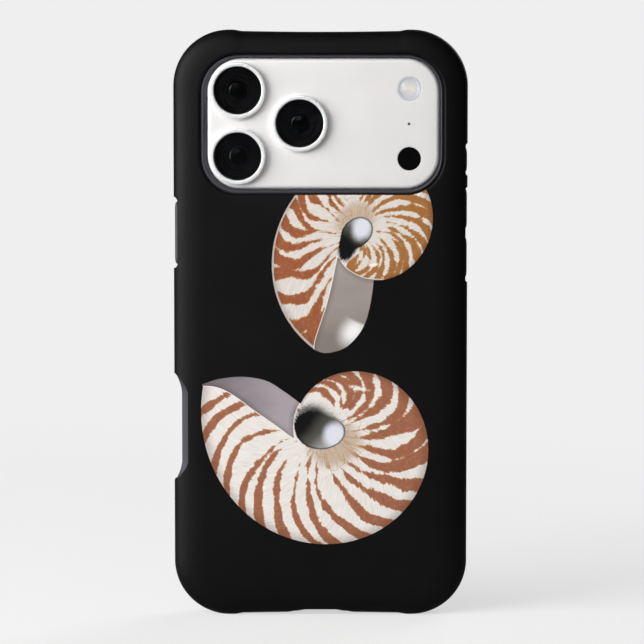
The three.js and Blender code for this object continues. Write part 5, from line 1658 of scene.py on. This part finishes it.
store(upper_film,
      stripe=np.where(ivory_rim, -2.0, np.maximum(broad_field, fine_field) * np.maximum(distance, 1.0)),
      pearl=upper_inner,
      pearl_tone=np.clip((upper["z"] - 80.0) / 22.0, 0.0, 1.0),
      pearl_gleam=np.minimum(oval(upper, (9.6, 84.4), (7.0, 5.2), 0.9),
                             (88.9 - 0.4 * (upper["x"] - 6.6) - upper["z"]) * 0.5 + 0.3),
      hollow=upper_hollow,
      depth=((upper["x"] - 9.6) * 0.62 + (upper["z"] - 112.4) * 0.78) / 5.2,
      gleam=1.5 * oval(upper, (12.3, 114.9), (4.6, 3.4), 1.1),
      feather=np.clip((109.5 - upper["z"]) / 3.0, 0.0, 0.35),
      callus=1.1 * oval(upper, (10.2, 117.0), (9.5, 7.5), 0.5),
      glint=oval(upper, (15.4, 103.9), (2.6, 0.8), 0.1),
      golden=np.where(beside_coil, np.clip((math.radians(120) - angle) / math.radians(60), 0.0, 1.0), 0.0),
      growth=angle - 0.5 * share ** 1.5, out=np.where(on_coil, coil_share, share))
print("upper nautilus:", len(upper_film.data.polygons), "faces,",
      len(broad_stripes) + len(fine_stripes), "stripes")

# %% [markdown]
# ### Ink
#
# One function makes the ink of both shells, because they are printed in one go. It reads the numbers
# stored on the film and turns each into an area of colour. Streaky noise is added to a number before it is
# cut off at zero, so the stripes get the feathered edges that the growth of a real shell gives them. The
# streaks run along `growth`, the direction in which the shell added its edges. A fine pale mottle breaks
# up the brown, and thin golden threads cross the tan patch beside the hollow: they are the places where a
# cloudy noise passes through its middle value.

# %% Ink colours
def ink(code):
    """A screen colour code as a linear colour."""
    values = [int(code[k:k + 2], 16) / 255 for k in (0, 2, 4)]
    return tuple(v / 12.92 if v <= 0.04045 else ((v + 0.055) / 1.055) ** 2.4 for v in values)


def nautilus_ink(name, **codes):
    """The ink of one shell, from colour codes for its stripes, its ground and its pearl."""
    inks = {part: ink(code) for part, code in codes.items()}
    finish = Finish(name, Specular_IOR_Level=0.25)
    growth, out = finish.attribute("growth"), finish.attribute("out")
    lines = finish.add("CombineXYZ", {0: finish.math("MULTIPLY", growth, 26.0),
                                      1: finish.math("MULTIPLY", out, 2.4)}).outputs[0]
    streaks = finish.noise(1.0, 4.0, 0.6, lines)
    fine_streaks = finish.noise(3.2, 3.0, 0.6, lines)
    grain = finish.noise(1500.0, 3.0)
    clouds = finish.noise(300.0, 2.0)

    band = finish.frayed(finish.attribute("stripe"), (streaks, 1.4), (grain, 0.8), (clouds, 2.6))
    ground = finish.over(inks["ivory"], inks["shade"], fine_streaks, 0.35, 0.65)
    dark_ink = finish.mix(finish.attribute("golden"), inks["brown"], inks["young_brown"])
    banded = finish.over(inks["gold"], dark_ink, band, 0.05, 0.4)
    banded = finish.over(banded, inks["deep_brown"], fine_streaks, 0.4, 0.7, 0.0, 0.55)
    mottle = finish.noise(850.0, 4.0, 0.7)
    banded = finish.over(banded, ink("c4927a"), mottle, 0.52, 0.72, 0.0, 0.45)
    colour = finish.over(ground, banded, band, -0.1, 0.12, smooth=True)

    callus = finish.frayed(finish.attribute("callus"), (streaks, 0.7))
    tan = finish.over(ink("d3bda6"), ink("a98a6c"), fine_streaks, 0.35, 0.65)
    colour = finish.over(colour, tan, callus, 0.2, 0.62, 0.0, 0.85, smooth=True)
    from_middle = finish.math("ABSOLUTE", finish.math("SUBTRACT", finish.noise(230.0, 1.0, 0.5), 0.5))
    threads = finish.math("MULTIPLY", finish.ramp(from_middle, 0.004, 0.014, 1.0, 0.0),
                          finish.ramp(callus, -0.1, 0.3, 0.0, 0.75))
    colour = finish.mix(threads, colour, ink("b08a52"))
    colour = finish.over(colour, ink("5e3524"), out, 0.9, 1.0, 0.0, 0.4, smooth=True)
    glint = finish.frayed(finish.attribute("glint"), (grain, 1.6))
    colour = finish.over(colour, ink("fdf7f2"), glint, 0.2, 0.7, 0.0, 0.8)

    inside = finish.attribute("pearl")
    bands = finish.noise(3.0, 3.0, 0.5, finish.stretched((18.0, 18.0, 45.0)))
    tone = finish.frayed(finish.attribute("pearl_tone"), (bands, 0.9))
    pearl = finish.over(inks["pearl_dark"], inks["pearl_light"], tone, 0.0, 1.0)
    pearl = finish.over(pearl, ink("f4f1f0"), finish.attribute("pearl_gleam"), 0.0, 0.9, smooth=True)
    pearl = finish.over(pearl, ink("4b4443"), inside, 0.15, 1.6, 0.4, 0.0)
    colour = finish.over(colour, pearl, inside, -0.05, 0.1)
    lip = finish.math("ABSOLUTE", finish.math("ADD", inside, 0.05))
    colour = finish.over(colour, ink("f3ece2"), lip, 0.07, 0.17, 0.85, 0.0)

    feathers = finish.math("MULTIPLY", finish.frayed(0.0, (finish.noise(9.0, 2.0, 0.6, lines), 11.0)),
                           finish.attribute("feather"))
    hollow = finish.math("ADD", finish.frayed(finish.attribute("hollow"), (streaks, 0.8)), feathers)
    depth = finish.frayed(finish.attribute("depth"), (clouds, 0.25))
    gloom = finish.over(ink("040405"), ink("4d4c45"), depth, -0.45, 0.15, smooth=True)
    gloom = finish.over(gloom, ink("a5a4a3"), depth, 0.1, 0.85, smooth=True)
    gleam = finish.frayed(finish.attribute("gleam"), (clouds, 0.5))
    gloom = finish.over(gloom, ink("dfe0ea"), gleam, -0.2, 0.9, smooth=True)
    gloom = finish.over(gloom, ink("0c0b0b"), hollow, 0.25, 0.7, 0.85, 0.0)
    colour = finish.over(colour, gloom, hollow, -0.05, 0.15, smooth=True)

    finish.set(Base_Color=colour, Roughness=finish.ramp(grain, 0.3, 0.7, 0.36, 0.46),
               Normal=finish.bump(grain, 0.00001, 0.25))
    return finish


coat(lower_film, nautilus_ink(
    "printed_ink_lower", brown="a2684c", deep_brown="7f4935", young_brown="a2684c", gold="cf9c6c",
    ivory="f1ede9", shade="dfd7d0", pearl_dark="6b6568", pearl_light="a59da2"))
coat(upper_film, nautilus_ink(
    "printed_ink_upper", brown="a05c3a", deep_brown="7e452b", young_brown="a9733a", gold="cc9c62",
    ivory="e9e4df", shade="d2c8be", pearl_dark="857b74", pearl_light="a69d97"))
print("ink mixed for", lower_film.name, "and", upper_film.name)

# %% [markdown]
# ## What was made
#
# The finer pieces only dress the CAD model and never move or grow it.
